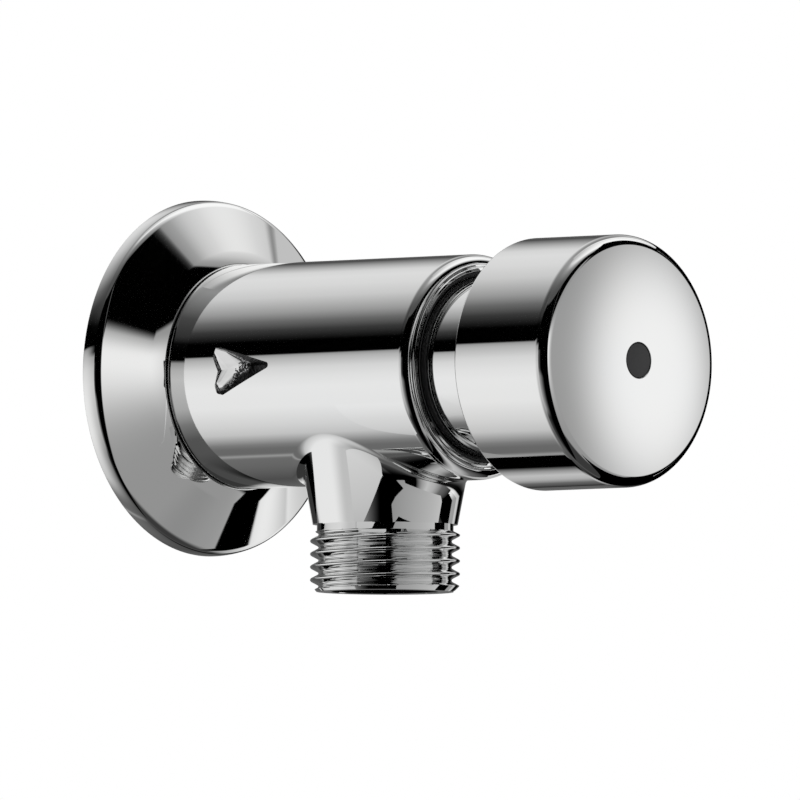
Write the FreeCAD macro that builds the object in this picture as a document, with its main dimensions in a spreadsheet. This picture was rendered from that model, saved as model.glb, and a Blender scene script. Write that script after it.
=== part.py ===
import FreeCAD, Part
import math
import os

import Sketcher

# Urinal flush valve, wall mounted and self closing, in millimetres.
#
# Frame: the origin is on the valve's axis in the wall plane, +Z is up, and the valve stands out from the
# wall along -Y. Each piece is drawn about its own local Z axis, with Z counted outwards from the wall, and
# its placement turns that axis to -Y and moves it to its station, the distance from the wall to its datum.

Vector = FreeCAD.Vector

# Driving dimensions: plain numbers, each the one place where that size is written.
DRIVING_SIZES = {
    # The two pipe threads are G 1/2, drawn as plain cylinders at their major radius
    "thread_radius": 10.478,
    "thread_chamfer": 0.9,
    "inlet_reach": 13.5,
    "inlet_relief": 1.0,
    "inlet_bore": 6.75,
    "relief_width": 0.9,
    "relief_radius": 9.55,

    # Wall flange, pressed from sheet: rim, cone, rounded shoulder, crest, and the nest for the barrel's end
    "flange_radius": 25.0,
    "flange_rim": 2.2,
    "flange_edge_round": 0.9,
    "flange_shoulder_radius": 17.8,
    "flange_shoulder": 6.25,
    "flange_shoulder_round": 24.5,
    "flange_crest": 7.28,
    "flange_seat": 6.3,
    "flange_nest_gap": 0.15,
    "flange_sheet": 0.9,
    "flange_hole_play": 0.3,
    "seal_width": 4.6,
    "seal_thickness": 1.5,
    "seal_play": 0.1,

    # Cast barrel
    "rear_round": 2.0,
    "lip_round": 1.5,
    "lip_wall": 1.6,
    "back_wall": 3.2,
    "cartridge_bore": 11.0,

    # Outlet branch
    "outlet_drop": 30.9,
    "outlet_thread_length": 8.5,
    "outlet_bore": 7.5,
    "outlet_bore_depth": 13.4,
    "neck_radius": 10.15,
    "neck_flare": 4.0,
    "branch_round": 3.5,

    # Raised flow arrow on the barrel's side
    "arrow_tail_station": 17.3,
    "arrow_foot_length": 13.6,
    "arrow_foot_half_height": 4.5,
    "arrow_top_length": 6.4,
    "arrow_top_half_height": 3.4,
    "arrow_notch": 1.2,
    "arrow_proud": 1.2,
    "arrow_bed": 1.2,
    "arrow_round": 0.6,

    # Push travel, and the room that each end of it needs
    "travel": 7.0,
    "holder_room": 1.6,
    "sleeve_room": 0.4,
    "hub_room": 0.3,
    "clip_room": 0.7,
    "seat_gap": 0.1,
    "slide_play": 0.08,
    "seal_touch": 0.05,

    # Valve washer, its holder and its nut
    "holder_plate": 1.6,
    "holder_rim": 0.6,
    "holder_lip": 1.2,
    "washer_radius": 7.6,
    "washer_thickness": 2.2,
    "washer_play": 0.05,
    "flow_gap": 2.0,
    "nut_flats": 7.0,
    "nut_height": 2.4,
    "spindle_tail": 0.7,

    # Seat ring
    "seat_lip": 0.6,
    "seat_lip_width": 0.8,
    "seat_thickness": 2.2,
    "seat_bore": 5.6,
    "seat_radius": 8.15,

    # Cartridge body
    "cartridge_play": 0.1,
    "ring_land": 0.6,
    "ring_section": 1.8,
    "ring_play": 0.03,
    "throat_bore": 6.1,
    "window_margin": 1.56,
    "window_length": 11.0,
    "window_width": 8.0,
    "cartridge_wall": 2.0,
    "partition_thickness": 3.0,
    "cartridge_flange": 1.5,
    "gasket_thickness": 0.8,
    "gasket_play": 0.15,
    "boss_height": 1.8,
    "feed_hole": 1.1,
    "feed_circle": 5.6,

    # Timing cylinder and its head
    "cylinder_bore": 9.0,
    "cylinder_wall": 1.6,
    "cylinder_fit": 0.05,
    "head_plug": 1.6,
    "head_flange": 1.2,
    "head_ring_section": 1.4,
    "key_hole": 0.9,
    "key_circle": 6.6,
    "key_depth": 1.2,

    # Spindle
    "spindle_radius": 2.5,
    "spindle_thread": 2.0,
    "spindle_collar": 3.6,
    "collar_height": 1.2,
    "screw_depth": 9.0,

    # Piston, its lip seal, clip and metering pin
    "piston_radius": 8.7,
    "piston_length": 6.4,
    "spring_pocket": 2.2,
    "piston_hub": 4.5,
    "pocket_outer": 7.6,
    "lip_groove": 2.4,
    "lip_groove_radius": 6.5,
    "front_land": 1.0,
    "lip_reach": 8.93,
    "clip_thickness": 0.7,
    "clip_radius": 4.2,
    "clip_gap": 3.4,
    "groove_depth": 0.45,
    "metering_circle": 5.5,
    "metering_hole": 0.5,
    "metering_pin": 0.42,
    "pin_head": 0.75,
    "pin_head_height": 0.5,
    "pin_stand": 0.5,

    # Return spring
    "wire": 1.0,
    "spring_turns": 6.0,
    "spring_margin": 1.7,
    "spring_mean_radius": 6.95,
    "closed_pitch": 1.45,

    # Push sleeve, the neck that slides in the barrel
    "sleeve_gap": 0.7,
    "sleeve_wall": 1.2,
    "sleeve_engaged": 2.8,
    "sleeve_step": 0.4,
    "sleeve_flange": 1.8,
    "sleeve_flange_inset": 0.65,
    "sleeve_flange_play": 0.05,

    # Gland nut, guide bush and wiper
    "bush_wall": 0.5,
    "gland_wall": 0.95,
    "gland_play": 0.12,
    "gland_collar": 1.9,
    "gland_collar_step": 0.35,
    "gland_proud": 0.4,
    "wiper_height": 1.5,
    "wiper_wall": 0.8,
    "wiper_inset": 0.25,
    "gland_ring_groove": 0.25,

    # Button cap
    "cap_overhang": 5.1,
    "cap_wall": 1.35,
    "cap_rim_round": 0.5,
    "cap_face_round": 1.3,
    "finger_gap": 3.85,
    "cap_face": 3.0,
    "cap_dome_radius": 85.0,
    "cap_boss_radius": 4.2,
    "cap_boss_height": 1.6,
    "cap_web": 1.0,
    "hub_thickness": 4.7,
    "hub_play": 0.1,

    # Screw and plug
    "plug_radius": 2.44,
    "plug_play": 0.04,
    "plug_thickness": 1.1,
    "plug_rise": 0.12,
    "screw_head_radius": 2.3,
    "screw_head": 2.3,
    "screw_radius": 1.5,
    "screw_length": 8.0,
    "screw_play": 0.1,
    "socket_flats": 2.0,
    "socket_depth": 1.2,

    # Inlet strainer
    "strainer_rim": 0.7,
    "strainer_rim_height": 1.0,
    "strainer_gap": 0.5,
    "strainer_wall": 0.6,
    "strainer_length": 12.0,
    "strainer_play": 0.05,
    "slot_width": 1.2,
    "slot_margin": 2.0,
}

WINDOW_COUNT = 4
FEED_HOLE_COUNT = 4
KEY_HOLE_COUNT = 2
STRAINER_SLOT_COUNT = 12
CUT_MARGIN = 1.0

# Two places closer together than this are the same one
SAME_PLACE = 1e-3

# How far a hexagon's corner lies from its middle, for each millimetre across its flats
CORNER_FOR_FLATS = 1 / math.sqrt(3)


class Size:
    """A length that knows its value and the expression that ties it to the sheet."""

    def __init__(self, value, text):
        self.value = value
        self.text = text

    def __add__(self, other):
        return joined(self, "+", other)

    def __radd__(self, other):
        return joined(other, "+", self)

    def __sub__(self, other):
        return joined(self, "-", other)

    def __rsub__(self, other):
        return joined(other, "-", self)

    def __mul__(self, other):
        return joined(self, "*", other)

    def __rmul__(self, other):
        return joined(other, "*", self)

    def __truediv__(self, other):
        return joined(self, "/", other)

    def __neg__(self):
        return joined(0.0, "-", self)


def as_size(amount):
    if isinstance(amount, Size):
        return amount
    return Size(float(amount), repr(float(amount)))


def joined(left, sign, right):
    left, right = as_size(left), as_size(right)
    if sign == "+":
        value = left.value + right.value
    elif sign == "-":
        value = left.value - right.value
    elif sign == "*":
        value = left.value * right.value
    else:
        value = left.value / right.value
    return Size(value, "(%s %s %s)" % (left.text, sign, right.text))


def square_root(amount):
    amount = as_size(amount)
    return Size(math.sqrt(amount.value), "sqrt(%s)" % amount.text)


# The document and its sheet of sizes

doc = FreeCAD.newDocument("UrinalFlushValve")
sheet = doc.addObject("Spreadsheet::Sheet", "Sizes")
for row, (alias, number) in enumerate(DRIVING_SIZES.items(), start=1):
    sheet.set("A%d" % row, alias)
    sheet.set("B%d" % row, str(number))
    sheet.setAlias("B%d" % row, alias)
doc.recompute()


def driving(alias):
    return Size(float(sheet.get(alias)), "Sizes." + alias)


class Driving:
    """The sheet's cells, one attribute for each alias."""


dim = Driving()
for alias in DRIVING_SIZES:
    setattr(dim, alias, driving(alias))


# Helpers for sketches, bodies and features

class Bend:
    """The way from one corner to the next is an arc: turn +1 runs anticlockwise, -1 clockwise."""

    def __init__(self, radius, turn):
        self.radius = as_size(radius)
        self.turn = turn


def tie(thing, path, amount):
    """Bind a property or a sketch constraint to the sheet."""
    thing.setExpression(path, as_size(amount).text)


def origin_plane(body, role):
    return [item for item in body.Origin.OriginFeatures if item.Role == role][0]


def new_body(label, station, across=0.0, height=0.0):
    """A body whose local Z axis points out from the wall, with its datum at the station."""
    body = doc.addObject("PartDesign::Body", label)
    body.Label = label
    station, across, height = as_size(station), as_size(across), as_size(height)
    base = Vector(across.value, -station.value, height.value)
    body.Placement = FreeCAD.Placement(base, FreeCAD.Rotation(Vector(1, 0, 0), 90))
    tie(body, ".Placement.Base.x", across)
    tie(body, ".Placement.Base.y", -station)
    tie(body, ".Placement.Base.z", height)
    return body


def new_sketch(body, name, role="XZ_Plane", offset=None):
    sketch = body.newObject("Sketcher::SketchObject", name)
    sketch.AttachmentSupport = [(origin_plane(body, role), "")]
    sketch.MapMode = "FlatFace"
    if offset is not None:
        offset = as_size(offset)
        sketch.AttachmentOffset = FreeCAD.Placement(Vector(0, 0, offset.value), FreeCAD.Rotation())
        tie(sketch, ".AttachmentOffset.Base.z", offset)
    return sketch


def pin_point(sketch, geometry, position, point):
    """Hold one end of a piece of the outline at its place, measured from the sketch's origin."""
    for axis, kind, amount in ((-2, "DistanceX", point[0]), (-1, "DistanceY", point[1])):
        if not isinstance(amount, Size) and amount == 0:
            sketch.addConstraint(Sketcher.Constraint("PointOnObject", geometry, position, axis))
            continue
        amount = as_size(amount)
        index = sketch.addConstraint(
            Sketcher.Constraint(kind, -1, 1, geometry, position, amount.value))
        tie(sketch, "Constraints[%d]" % index, amount)


def arc_between(first, last, bend):
    """The shorter arc of a given radius between two points, drawn anticlockwise as sketches store it."""
    start, end = (first, last) if bend.turn > 0 else (last, first)
    middle = (start + end) * 0.5
    chord = end - start
    half = chord.Length / 2
    to_centre = Vector(-chord.y, chord.x, 0)
    to_centre.normalize()
    centre = middle + to_centre * math.sqrt(max(bend.radius.value ** 2 - half ** 2, 0.0))
    from_centre, towards = start - centre, end - centre
    return Part.ArcOfCircle(
        Part.Circle(centre, Vector(0, 0, 1), bend.radius.value),
        math.atan2(from_centre.y, from_centre.x), math.atan2(towards.y, towards.x))


def draw_outline(sketch, steps):
    """Close an outline through corners (x, y), with a Bend between two corners where the way is an arc."""
    corners, bends = [], []
    for step in steps:
        if isinstance(step, Bend):
            bends[-1] = step
        else:
            corners.append(step)
            bends.append(None)
    points = [Vector(as_size(x).value, as_size(y).value, 0) for x, y in corners]
    first_index = sketch.GeometryCount
    ends = []
    for index, bend in enumerate(bends):
        start, end = points[index], points[(index + 1) % len(points)]
        if bend is None:
            sketch.addGeometry(Part.LineSegment(start, end), False)
            ends.append((1, 2))
        else:
            sketch.addGeometry(arc_between(start, end, bend), False)
            ends.append((1, 2) if bend.turn > 0 else (2, 1))
    for index, bend in enumerate(bends):
        here, there = first_index + index, first_index + (index + 1) % len(points)
        sketch.addConstraint(Sketcher.Constraint(
            "Coincident", here, ends[index][1], there, ends[(index + 1) % len(points)][0]))
        pin_point(sketch, here, ends[index][0], corners[index])
        if bend is not None:
            constraint = sketch.addConstraint(Sketcher.Constraint("Radius", here, bend.radius.value))
            tie(sketch, "Constraints[%d]" % constraint, bend.radius)


def draw_circle(sketch, centre, radius):
    radius = as_size(radius)
    place = Vector(as_size(centre[0]).value, as_size(centre[1]).value, 0)
    index = sketch.addGeometry(Part.Circle(place, Vector(0, 0, 1), radius.value), False)
    constraint = sketch.addConstraint(Sketcher.Constraint("Radius", index, radius.value))
    tie(sketch, "Constraints[%d]" % constraint, radius)
    pin_point(sketch, index, 3, centre)


def draw_turning_axis(sketch, height):
    """A construction line across the sketch at the given height, to revolve about."""
    height = as_size(height)
    index = sketch.addGeometry(
        Part.LineSegment(Vector(0, height.value, 0), Vector(1, height.value, 0)), True)
    pin_point(sketch, index, 1, (0, height))
    pin_point(sketch, index, 2, (as_size(1.0), height))


def turned(label, station, steps, across=0.0, height=0.0):
    """A body turned about its own axis from one outline of (radius, length)."""
    body = new_body(label, station, across, height)
    sketch = new_sketch(body, label + "_outline")
    draw_outline(sketch, steps)
    revolve(body, label + "_turned", sketch)
    return body


def revolve(body, name, sketch, kind="PartDesign::Revolution", axis="V_Axis"):
    feature = body.newObject(kind, name)
    feature.Profile = sketch
    feature.ReferenceAxis = (sketch, [axis])
    feature.Angle = 360
    doc.recompute()
    return feature


def expect_change(before, feature, removes):
    """Stop if a feature left the solid as it was, or changed it the wrong way."""
    change = feature.Shape.Volume - before
    if (removes and change > -1e-6) or (not removes and change < 1e-6):
        raise RuntimeError("%s changes the volume by %.6f" % (feature.Name, change))


def groove(body, name, steps, role="XZ_Plane", axis_height=None):
    """Turn an outline away from the solid, about local Z or about a line at the given height."""
    before = body.Shape.Volume
    sketch = new_sketch(body, name + "_outline", role)
    draw_outline(sketch, steps)
    axis = "V_Axis"
    if axis_height is not None:
        draw_turning_axis(sketch, axis_height)
        axis = "Axis0"
    feature = revolve(body, name, sketch, "PartDesign::Groove", axis)
    expect_change(before, feature, True)
    return feature


def pocket(body, name, sketch, depth, reverse=False, both=False):
    before = body.Shape.Volume
    feature = body.newObject("PartDesign::Pocket", name)
    feature.Profile = sketch
    feature.Length = as_size(depth).value
    tie(feature, "Length", depth)
    feature.Reversed = reverse
    feature.Midplane = both
    doc.recompute()
    expect_change(before, feature, True)
    return feature


def pad(body, name, sketch, height, reverse=False):
    feature = body.newObject("PartDesign::Pad", name)
    feature.Profile = sketch
    feature.Length = as_size(height).value
    tie(feature, "Length", height)
    feature.Reversed = reverse
    doc.recompute()
    return feature


def loft(body, name, first, last):
    """Add a ruled solid between two outlines of the same number of corners."""
    before = body.Shape.Volume
    feature = body.newObject("PartDesign::AdditiveLoft", name)
    feature.Profile = first
    feature.Sections = [last]
    feature.Ruled = True
    doc.recompute()
    expect_change(before, feature, False)
    return feature


def round_about(body, name, feature, count):
    """Repeat a feature evenly about the body's local Z axis."""
    pattern = body.newObject("PartDesign::PolarPattern", name)
    pattern.Originals = [feature]
    pattern.Axis = (origin_plane(body, "Z_Axis"), [""])
    pattern.Angle = 360
    pattern.Occurrences = count
    body.Tip = pattern
    doc.recompute()
    return pattern


def edges_where(feature, wanted):
    return ["Edge%d" % (index + 1) for index, edge in enumerate(feature.Shape.Edges) if wanted(edge)]


def ring_edge(radius, length):
    """Test for a circular edge of this radius at this distance along the local axis."""
    def wanted(edge):
        if not isinstance(edge.Curve, Part.Circle):
            return False
        same_radius = abs(edge.Curve.Radius - as_size(radius).value) < SAME_PLACE
        return same_radius and abs(edge.Curve.Center.z - as_size(length).value) < SAME_PLACE
    return wanted


def dress(body, name, kind, wanted, amount):
    """Round or chamfer the edges of the newest solid that pass the test."""
    base = body.Tip
    names = edges_where(base, wanted)
    if not names:
        raise RuntimeError("no edge found for " + name)
    feature = body.newObject("PartDesign::" + kind, name)
    feature.Base = (base, names)
    path = "Radius" if kind == "Fillet" else "Size"
    setattr(feature, path, as_size(amount).value)
    tie(feature, path, amount)
    doc.recompute()
    return feature


# Stations along the valve's axis, each the distance from the wall

body_back = dim.flange_seat
chamber_back = body_back + dim.back_wall
holder_back = chamber_back + dim.holder_room + dim.travel
washer_back = holder_back + dim.holder_plate
washer_front = washer_back + dim.washer_thickness
seat_face = washer_front + dim.seat_gap
cartridge_back = seat_face + dim.seat_lip
seat_floor = cartridge_back + dim.seat_thickness
ring_groove_back = seat_floor + dim.ring_land
ring_groove_width = dim.ring_section * 1.3
ring_groove_front = ring_groove_back + ring_groove_width
window_back = ring_groove_front + dim.window_margin
outlet_station = window_back + dim.window_length / 2
window_front = window_back + dim.window_length
partition_front = window_front + dim.partition_thickness
shoulder = partition_front - dim.cartridge_flange - dim.gasket_thickness
boss_front = partition_front + dim.boss_height
spring_length = dim.wire * dim.spring_turns + dim.spring_margin + dim.travel
spring_front = boss_front + spring_length
piston_back = spring_front - dim.spring_pocket
piston_front = piston_back + dim.piston_length
clip_front = piston_front + dim.clip_thickness
head_back = clip_front + dim.clip_room
cylinder_front = head_back + dim.head_plug
head_front = cylinder_front + dim.head_flange
hub_back = head_front + dim.hub_room + dim.travel
cap_inside = hub_back + dim.hub_thickness
crown = cap_inside + dim.cap_face
sleeve_back = partition_front + dim.sleeve_room + dim.travel
body_front = sleeve_back + dim.sleeve_engaged
gland_front = body_front + dim.gland_proud
cap_back = body_front + dim.travel + dim.finger_gap
sleeve_flange_back = cap_back + dim.sleeve_flange_inset
boss_floor = cap_inside - dim.cap_boss_height
screw_seat = boss_floor + dim.cap_web
screw_end = screw_seat - dim.screw_length
nut_back = holder_back - dim.nut_height
spindle_back = nut_back - dim.spindle_tail

# Radii, worked out from the timing cylinder outwards to the barrel and the cap

cylinder_radius = dim.cylinder_bore + dim.cylinder_wall
sleeve_bore = cylinder_radius + dim.sleeve_gap
neck_outer = sleeve_bore + dim.sleeve_wall
guide_bore = neck_outer + dim.slide_play
bush_radius = guide_bore + dim.bush_wall
gland_outer = bush_radius + dim.gland_wall
counterbore = gland_outer + dim.gland_play
body_radius = counterbore + dim.lip_wall
mouth_radius = counterbore + dim.gland_collar_step
cap_radius = neck_outer + dim.cap_overhang
cap_bore = cap_radius - dim.cap_wall
cartridge_radius = dim.cartridge_bore - dim.cartridge_play
flange_bore = cartridge_radius - dim.cartridge_wall
holder_radius = dim.washer_radius + dim.washer_play + dim.holder_rim
chamber_radius = holder_radius + dim.flow_gap
outlet_port = dim.window_length / 2
spindle_hole = dim.spindle_radius + dim.slide_play


def draw_arrow(body, name, offset, length, half_height):
    """Arrowhead that points away from the wall, on a plane across the barrel's side."""
    sketch = new_sketch(body, name, "YZ_Plane", offset)
    tail = dim.arrow_tail_station
    draw_outline(sketch, [
        (0, tail + length),
        (half_height, tail),
        (0, tail + dim.arrow_notch),
        (-half_height, tail),
    ])
    return sketch


def build_valve_body():
    """Cast barrel with its inlet spigot, its outlet branch, the stepped bores and the flow arrow."""
    body = new_body("valve_body", 0.0)

    barrel = new_sketch(body, "barrel_outline")
    draw_outline(barrel, [
        (0, -dim.inlet_reach),
        (dim.thread_radius - dim.thread_chamfer, -dim.inlet_reach),
        (dim.thread_radius, -dim.inlet_reach + dim.thread_chamfer),
        (dim.thread_radius, dim.inlet_relief - dim.thread_chamfer / 2),
        (dim.relief_radius, dim.inlet_relief),
        (dim.relief_radius, dim.inlet_relief + dim.relief_width),
        (dim.thread_radius, dim.inlet_relief + dim.relief_width),
        (dim.thread_radius, body_back),
        (body_radius, body_back),
        (body_radius, body_front),
        (0, body_front),
    ])
    revolve(body, "barrel", barrel)

    thread_top = dim.outlet_drop - dim.outlet_thread_length
    neck_foot = thread_top - dim.relief_width
    branch = new_sketch(body, "branch_outline", "YZ_Plane")
    draw_outline(branch, [
        (0, outlet_station),
        (0, outlet_station + dim.neck_radius + dim.neck_flare),
        (-neck_foot, outlet_station + dim.neck_radius),
        (-neck_foot, outlet_station + dim.relief_radius),
        (-thread_top, outlet_station + dim.relief_radius),
        (-thread_top - dim.thread_chamfer / 2, outlet_station + dim.thread_radius),
        (-dim.outlet_drop + dim.thread_chamfer, outlet_station + dim.thread_radius),
        (-dim.outlet_drop, outlet_station + dim.thread_radius - dim.thread_chamfer),
        (-dim.outlet_drop, outlet_station),
    ])
    draw_turning_axis(branch, outlet_station)
    revolve(body, "branch", branch, axis="Axis0")

    def saddle_edge(edge):
        """The curve where the branch meets the barrel: on the barrel's surface, round the outlet's axis."""
        middle = edge.valueAt((edge.FirstParameter + edge.LastParameter) / 2)
        on_barrel = abs(math.hypot(middle.x, middle.y) - body_radius.value) < 0.01
        off_axis = math.hypot(middle.x, middle.z - outlet_station.value)
        near_branch = off_axis < (dim.neck_radius + dim.neck_flare).value
        return on_barrel and middle.y < 0 and near_branch and not isinstance(edge.Curve, Part.Line)
    dress(body, "branch_blend", "Fillet", saddle_edge, dim.branch_round)
    dress(body, "rear_edge", "Fillet", ring_edge(body_radius, body_back), dim.rear_round)
    dress(body, "front_lip", "Fillet", ring_edge(body_radius, body_front), dim.lip_round)

    strainer_seat = dim.inlet_bore + dim.strainer_rim
    rim_floor = -dim.inlet_reach + dim.strainer_rim_height
    groove(body, "stepped_bore", [
        (0, -dim.inlet_reach - CUT_MARGIN),
        (strainer_seat, -dim.inlet_reach - CUT_MARGIN),
        (strainer_seat, rim_floor),
        (dim.inlet_bore, rim_floor),
        (dim.inlet_bore, chamber_back),
        (chamber_radius, chamber_back),
        (chamber_radius, cartridge_back - dim.seat_lip),
        (dim.cartridge_bore, cartridge_back - dim.seat_lip),
        (dim.cartridge_bore, shoulder),
        (counterbore, shoulder),
        (counterbore, gland_front - dim.gland_collar),
        (mouth_radius, gland_front - dim.gland_collar),
        (mouth_radius, body_front + CUT_MARGIN),
        (0, body_front + CUT_MARGIN),
    ])
    bore_top = dim.outlet_drop - dim.outlet_bore_depth
    groove(body, "outlet_way", [
        (0, outlet_station),
        (0, outlet_station + outlet_port),
        (-bore_top, outlet_station + outlet_port),
        (-bore_top, outlet_station + dim.outlet_bore),
        (-dim.outlet_drop - CUT_MARGIN, outlet_station + dim.outlet_bore),
        (-dim.outlet_drop - CUT_MARGIN, outlet_station),
    ], "YZ_Plane", outlet_station)

    foot = draw_arrow(body, "arrow_foot", -body_radius + dim.arrow_bed,
                      dim.arrow_foot_length, dim.arrow_foot_half_height)
    top = draw_arrow(body, "arrow_top", -body_radius - dim.arrow_proud,
                     dim.arrow_top_length, dim.arrow_top_half_height)
    loft(body, "flow_arrow", foot, top)

    def arrow_edge(edge):
        """The arrow's sloping corners, which run out from the barrel, and the rim of its flat top."""
        level = -(body_radius + dim.arrow_proud).value
        depths = [abs(vertex.Point.x - level) for vertex in edge.Vertexes]
        reach = (dim.arrow_bed + dim.arrow_proud).value
        return len(depths) == 2 and min(depths) < SAME_PLACE and max(depths) < reach
    dress(body, "arrow_rounding", "Fillet", arrow_edge, dim.arrow_round)
    return body


def build_wall_flange():
    """Pressed flange: a straight rim, a cone and a crest, inside which the barrel's rounded end nests."""
    sheet_wall = dim.flange_sheet
    run = dim.flange_radius - dim.flange_shoulder_radius
    rise = dim.flange_shoulder - dim.flange_rim
    slant = square_root(run * run + rise * rise)
    rim_inner = dim.flange_radius - sheet_wall
    under_shoulder = dim.flange_shoulder_radius - sheet_wall * rise / slant
    under_shoulder_height = dim.flange_shoulder - sheet_wall * run / slant
    under_rim_height = under_shoulder_height - (rim_inner - under_shoulder) * rise / run

    hole = dim.thread_radius + dim.flange_hole_play
    nest_centre = body_radius - dim.rear_round
    nest_round = dim.rear_round + dim.flange_nest_gap
    crest_depth = dim.rear_round + dim.flange_seat - dim.flange_crest
    nest_floor = nest_centre + square_root(nest_round * nest_round - dim.rear_round * dim.rear_round)
    nest_brim = nest_centre + square_root(nest_round * nest_round - crest_depth * crest_depth)
    body = turned("wall_flange", 0.0, [
        (hole, dim.flange_seat - sheet_wall),
        (nest_floor + sheet_wall / 4, dim.flange_seat - sheet_wall),
        (body_radius + sheet_wall / 4, dim.flange_crest - sheet_wall * slant / run),
        (under_shoulder, under_shoulder_height),
        (rim_inner, under_rim_height),
        (rim_inner, 0),
        (dim.flange_radius, 0),
        (dim.flange_radius, dim.flange_rim),
        (dim.flange_shoulder_radius, dim.flange_shoulder),
        Bend(dim.flange_shoulder_round, 1),
        (body_radius, dim.flange_crest),
        (nest_brim, dim.flange_crest),
        Bend(nest_round, -1),
        (nest_floor, dim.flange_seat),
        (hole, dim.flange_seat),
    ])
    dress(body, "flange_edge", "Fillet", ring_edge(dim.flange_radius, dim.flange_rim), dim.flange_edge_round)
    return body


def build_wall_seal_ring():
    outer = dim.flange_radius - dim.flange_sheet - dim.seal_play
    inner = outer - dim.seal_width
    bevel = dim.seal_thickness / 3
    return turned("wall_seal_ring", 0.0, [
        (inner, 0),
        (outer, 0),
        (outer, dim.flange_rim - dim.flange_sheet),
        (outer - dim.seal_width / 4, dim.seal_thickness),
        (inner + bevel, dim.seal_thickness),
        (inner, dim.seal_thickness - bevel),
    ])


def build_inlet_strainer():
    """Slotted cup with a rim, set into the inlet's mouth and closed towards the valve."""
    rim_outer = dim.inlet_bore + dim.strainer_rim - dim.strainer_play
    outer = dim.inlet_bore - dim.strainer_gap
    inner = outer - dim.strainer_wall
    rim = dim.strainer_rim_height
    end = dim.strainer_length
    body = turned("inlet_strainer", -dim.inlet_reach, [
        (inner, 0),
        (rim_outer, 0),
        (rim_outer, rim),
        (outer, rim),
        (outer, end),
        (0, end),
        (0, end - dim.strainer_wall),
        (inner, end - dim.strainer_wall),
    ])
    sketch = new_sketch(body, "slot_outline", "YZ_Plane")
    half = dim.slot_width / 2
    low, high = rim + dim.slot_margin, end - dim.slot_margin
    draw_outline(sketch, [
        (half, low),
        (half, high),
        Bend(half, 1),
        (0, high + half),
        Bend(half, 1),
        (-half, high),
        (-half, low),
        Bend(half, 1),
        (0, low - half),
        Bend(half, 1),
    ])
    slot = pocket(body, "slot", sketch, dim.inlet_bore * 1.5, reverse=True)
    round_about(body, "slots", slot, STRAINER_SLOT_COUNT)
    return body


def build_cartridge_body():
    """Rear tube of the cartridge: seat recess, ring groove, windows, flange and a front wall with a boss."""
    length = partition_front - cartridge_back
    flange_outer = counterbore - dim.gland_play
    recess = dim.seat_radius + dim.cartridge_play / 2
    recess_floor = seat_floor - cartridge_back
    groove_back = ring_groove_back - cartridge_back
    groove_front = ring_groove_front - cartridge_back
    groove_radius = dim.cartridge_bore - dim.ring_section
    room_back = groove_front + dim.window_margin / 3
    window_start = window_back - cartridge_back
    window_end = window_front - cartridge_back
    flange_back = length - dim.cartridge_flange
    boss_radius = dim.cylinder_bore - dim.cylinder_fit
    body = turned("cartridge_body", cartridge_back, [
        (recess, 0),
        (cartridge_radius, 0),
        (cartridge_radius, groove_back),
        (groove_radius, groove_back),
        (groove_radius, groove_front),
        (cartridge_radius, groove_front),
        (cartridge_radius, flange_back),
        (flange_outer, flange_back),
        (flange_outer, length),
        (boss_radius, length),
        (boss_radius, length + dim.boss_height),
        (spindle_hole, length + dim.boss_height),
        (spindle_hole, window_end),
        (flange_bore, window_end),
        (flange_bore, room_back + (flange_bore - dim.throat_bore) / 3),
        (dim.throat_bore, room_back),
        (dim.throat_bore, recess_floor),
        (recess, recess_floor),
    ])
    sketch = new_sketch(body, "window_outline", "YZ_Plane")
    half = dim.window_width / 2
    corner = dim.window_width / 5
    draw_outline(sketch, [
        (half, window_start + corner),
        (half, window_end - corner),
        Bend(corner, 1),
        (half - corner, window_end),
        (-half + corner, window_end),
        Bend(corner, 1),
        (-half, window_end - corner),
        (-half, window_start + corner),
        Bend(corner, 1),
        (-half + corner, window_start),
        (half - corner, window_start),
        Bend(corner, 1),
    ])
    window = pocket(body, "window", sketch, cartridge_radius * 1.2, reverse=True)
    round_about(body, "windows", window, WINDOW_COUNT)
    feed = new_sketch(body, "feed_outline", "XY_Plane", window_end - CUT_MARGIN)
    draw_circle(feed, (dim.feed_circle, 0), dim.feed_hole)
    depth = dim.partition_thickness + dim.boss_height + 2 * CUT_MARGIN
    feed_hole = pocket(body, "feed", feed, depth, reverse=True)
    round_about(body, "feed_holes", feed_hole, FEED_HOLE_COUNT)
    return body


def build_seat_ring():
    """Valve seat with a narrow raised lip towards the inlet."""
    lip_inner = dim.seat_bore + dim.seat_lip_width
    lip_outer = lip_inner + dim.seat_lip_width
    return turned("seat_ring", seat_face, [
        (dim.seat_bore, dim.seat_lip * 1.5),
        (lip_inner, 0),
        (lip_outer, 0),
        (lip_outer + dim.seat_lip / 2, dim.seat_lip),
        (dim.seat_radius, dim.seat_lip),
        (dim.seat_radius, dim.seat_lip + dim.seat_thickness),
        (dim.seat_bore, dim.seat_lip + dim.seat_thickness),
    ])


def build_ring(label, station, mean_radius, section):
    """A round-section sealing ring centred on its station."""
    ring = doc.addObject("Part::Torus", label)
    ring.Label = label
    ring.Radius1 = mean_radius.value
    ring.Radius2 = (section / 2).value
    tie(ring, "Radius1", mean_radius)
    tie(ring, "Radius2", section / 2)
    ring.Placement = FreeCAD.Placement(
        Vector(0, -station.value, 0), FreeCAD.Rotation(Vector(1, 0, 0), 90))
    tie(ring, ".Placement.Base.y", -station)
    return ring


def build_cartridge_gasket():
    outer = counterbore - dim.gasket_play
    inner = dim.cartridge_bore + dim.gasket_play
    return turned("cartridge_gasket", shoulder, [
        (inner, 0),
        (outer, 0),
        (outer, dim.gasket_thickness),
        (inner, dim.gasket_thickness),
    ])


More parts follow.
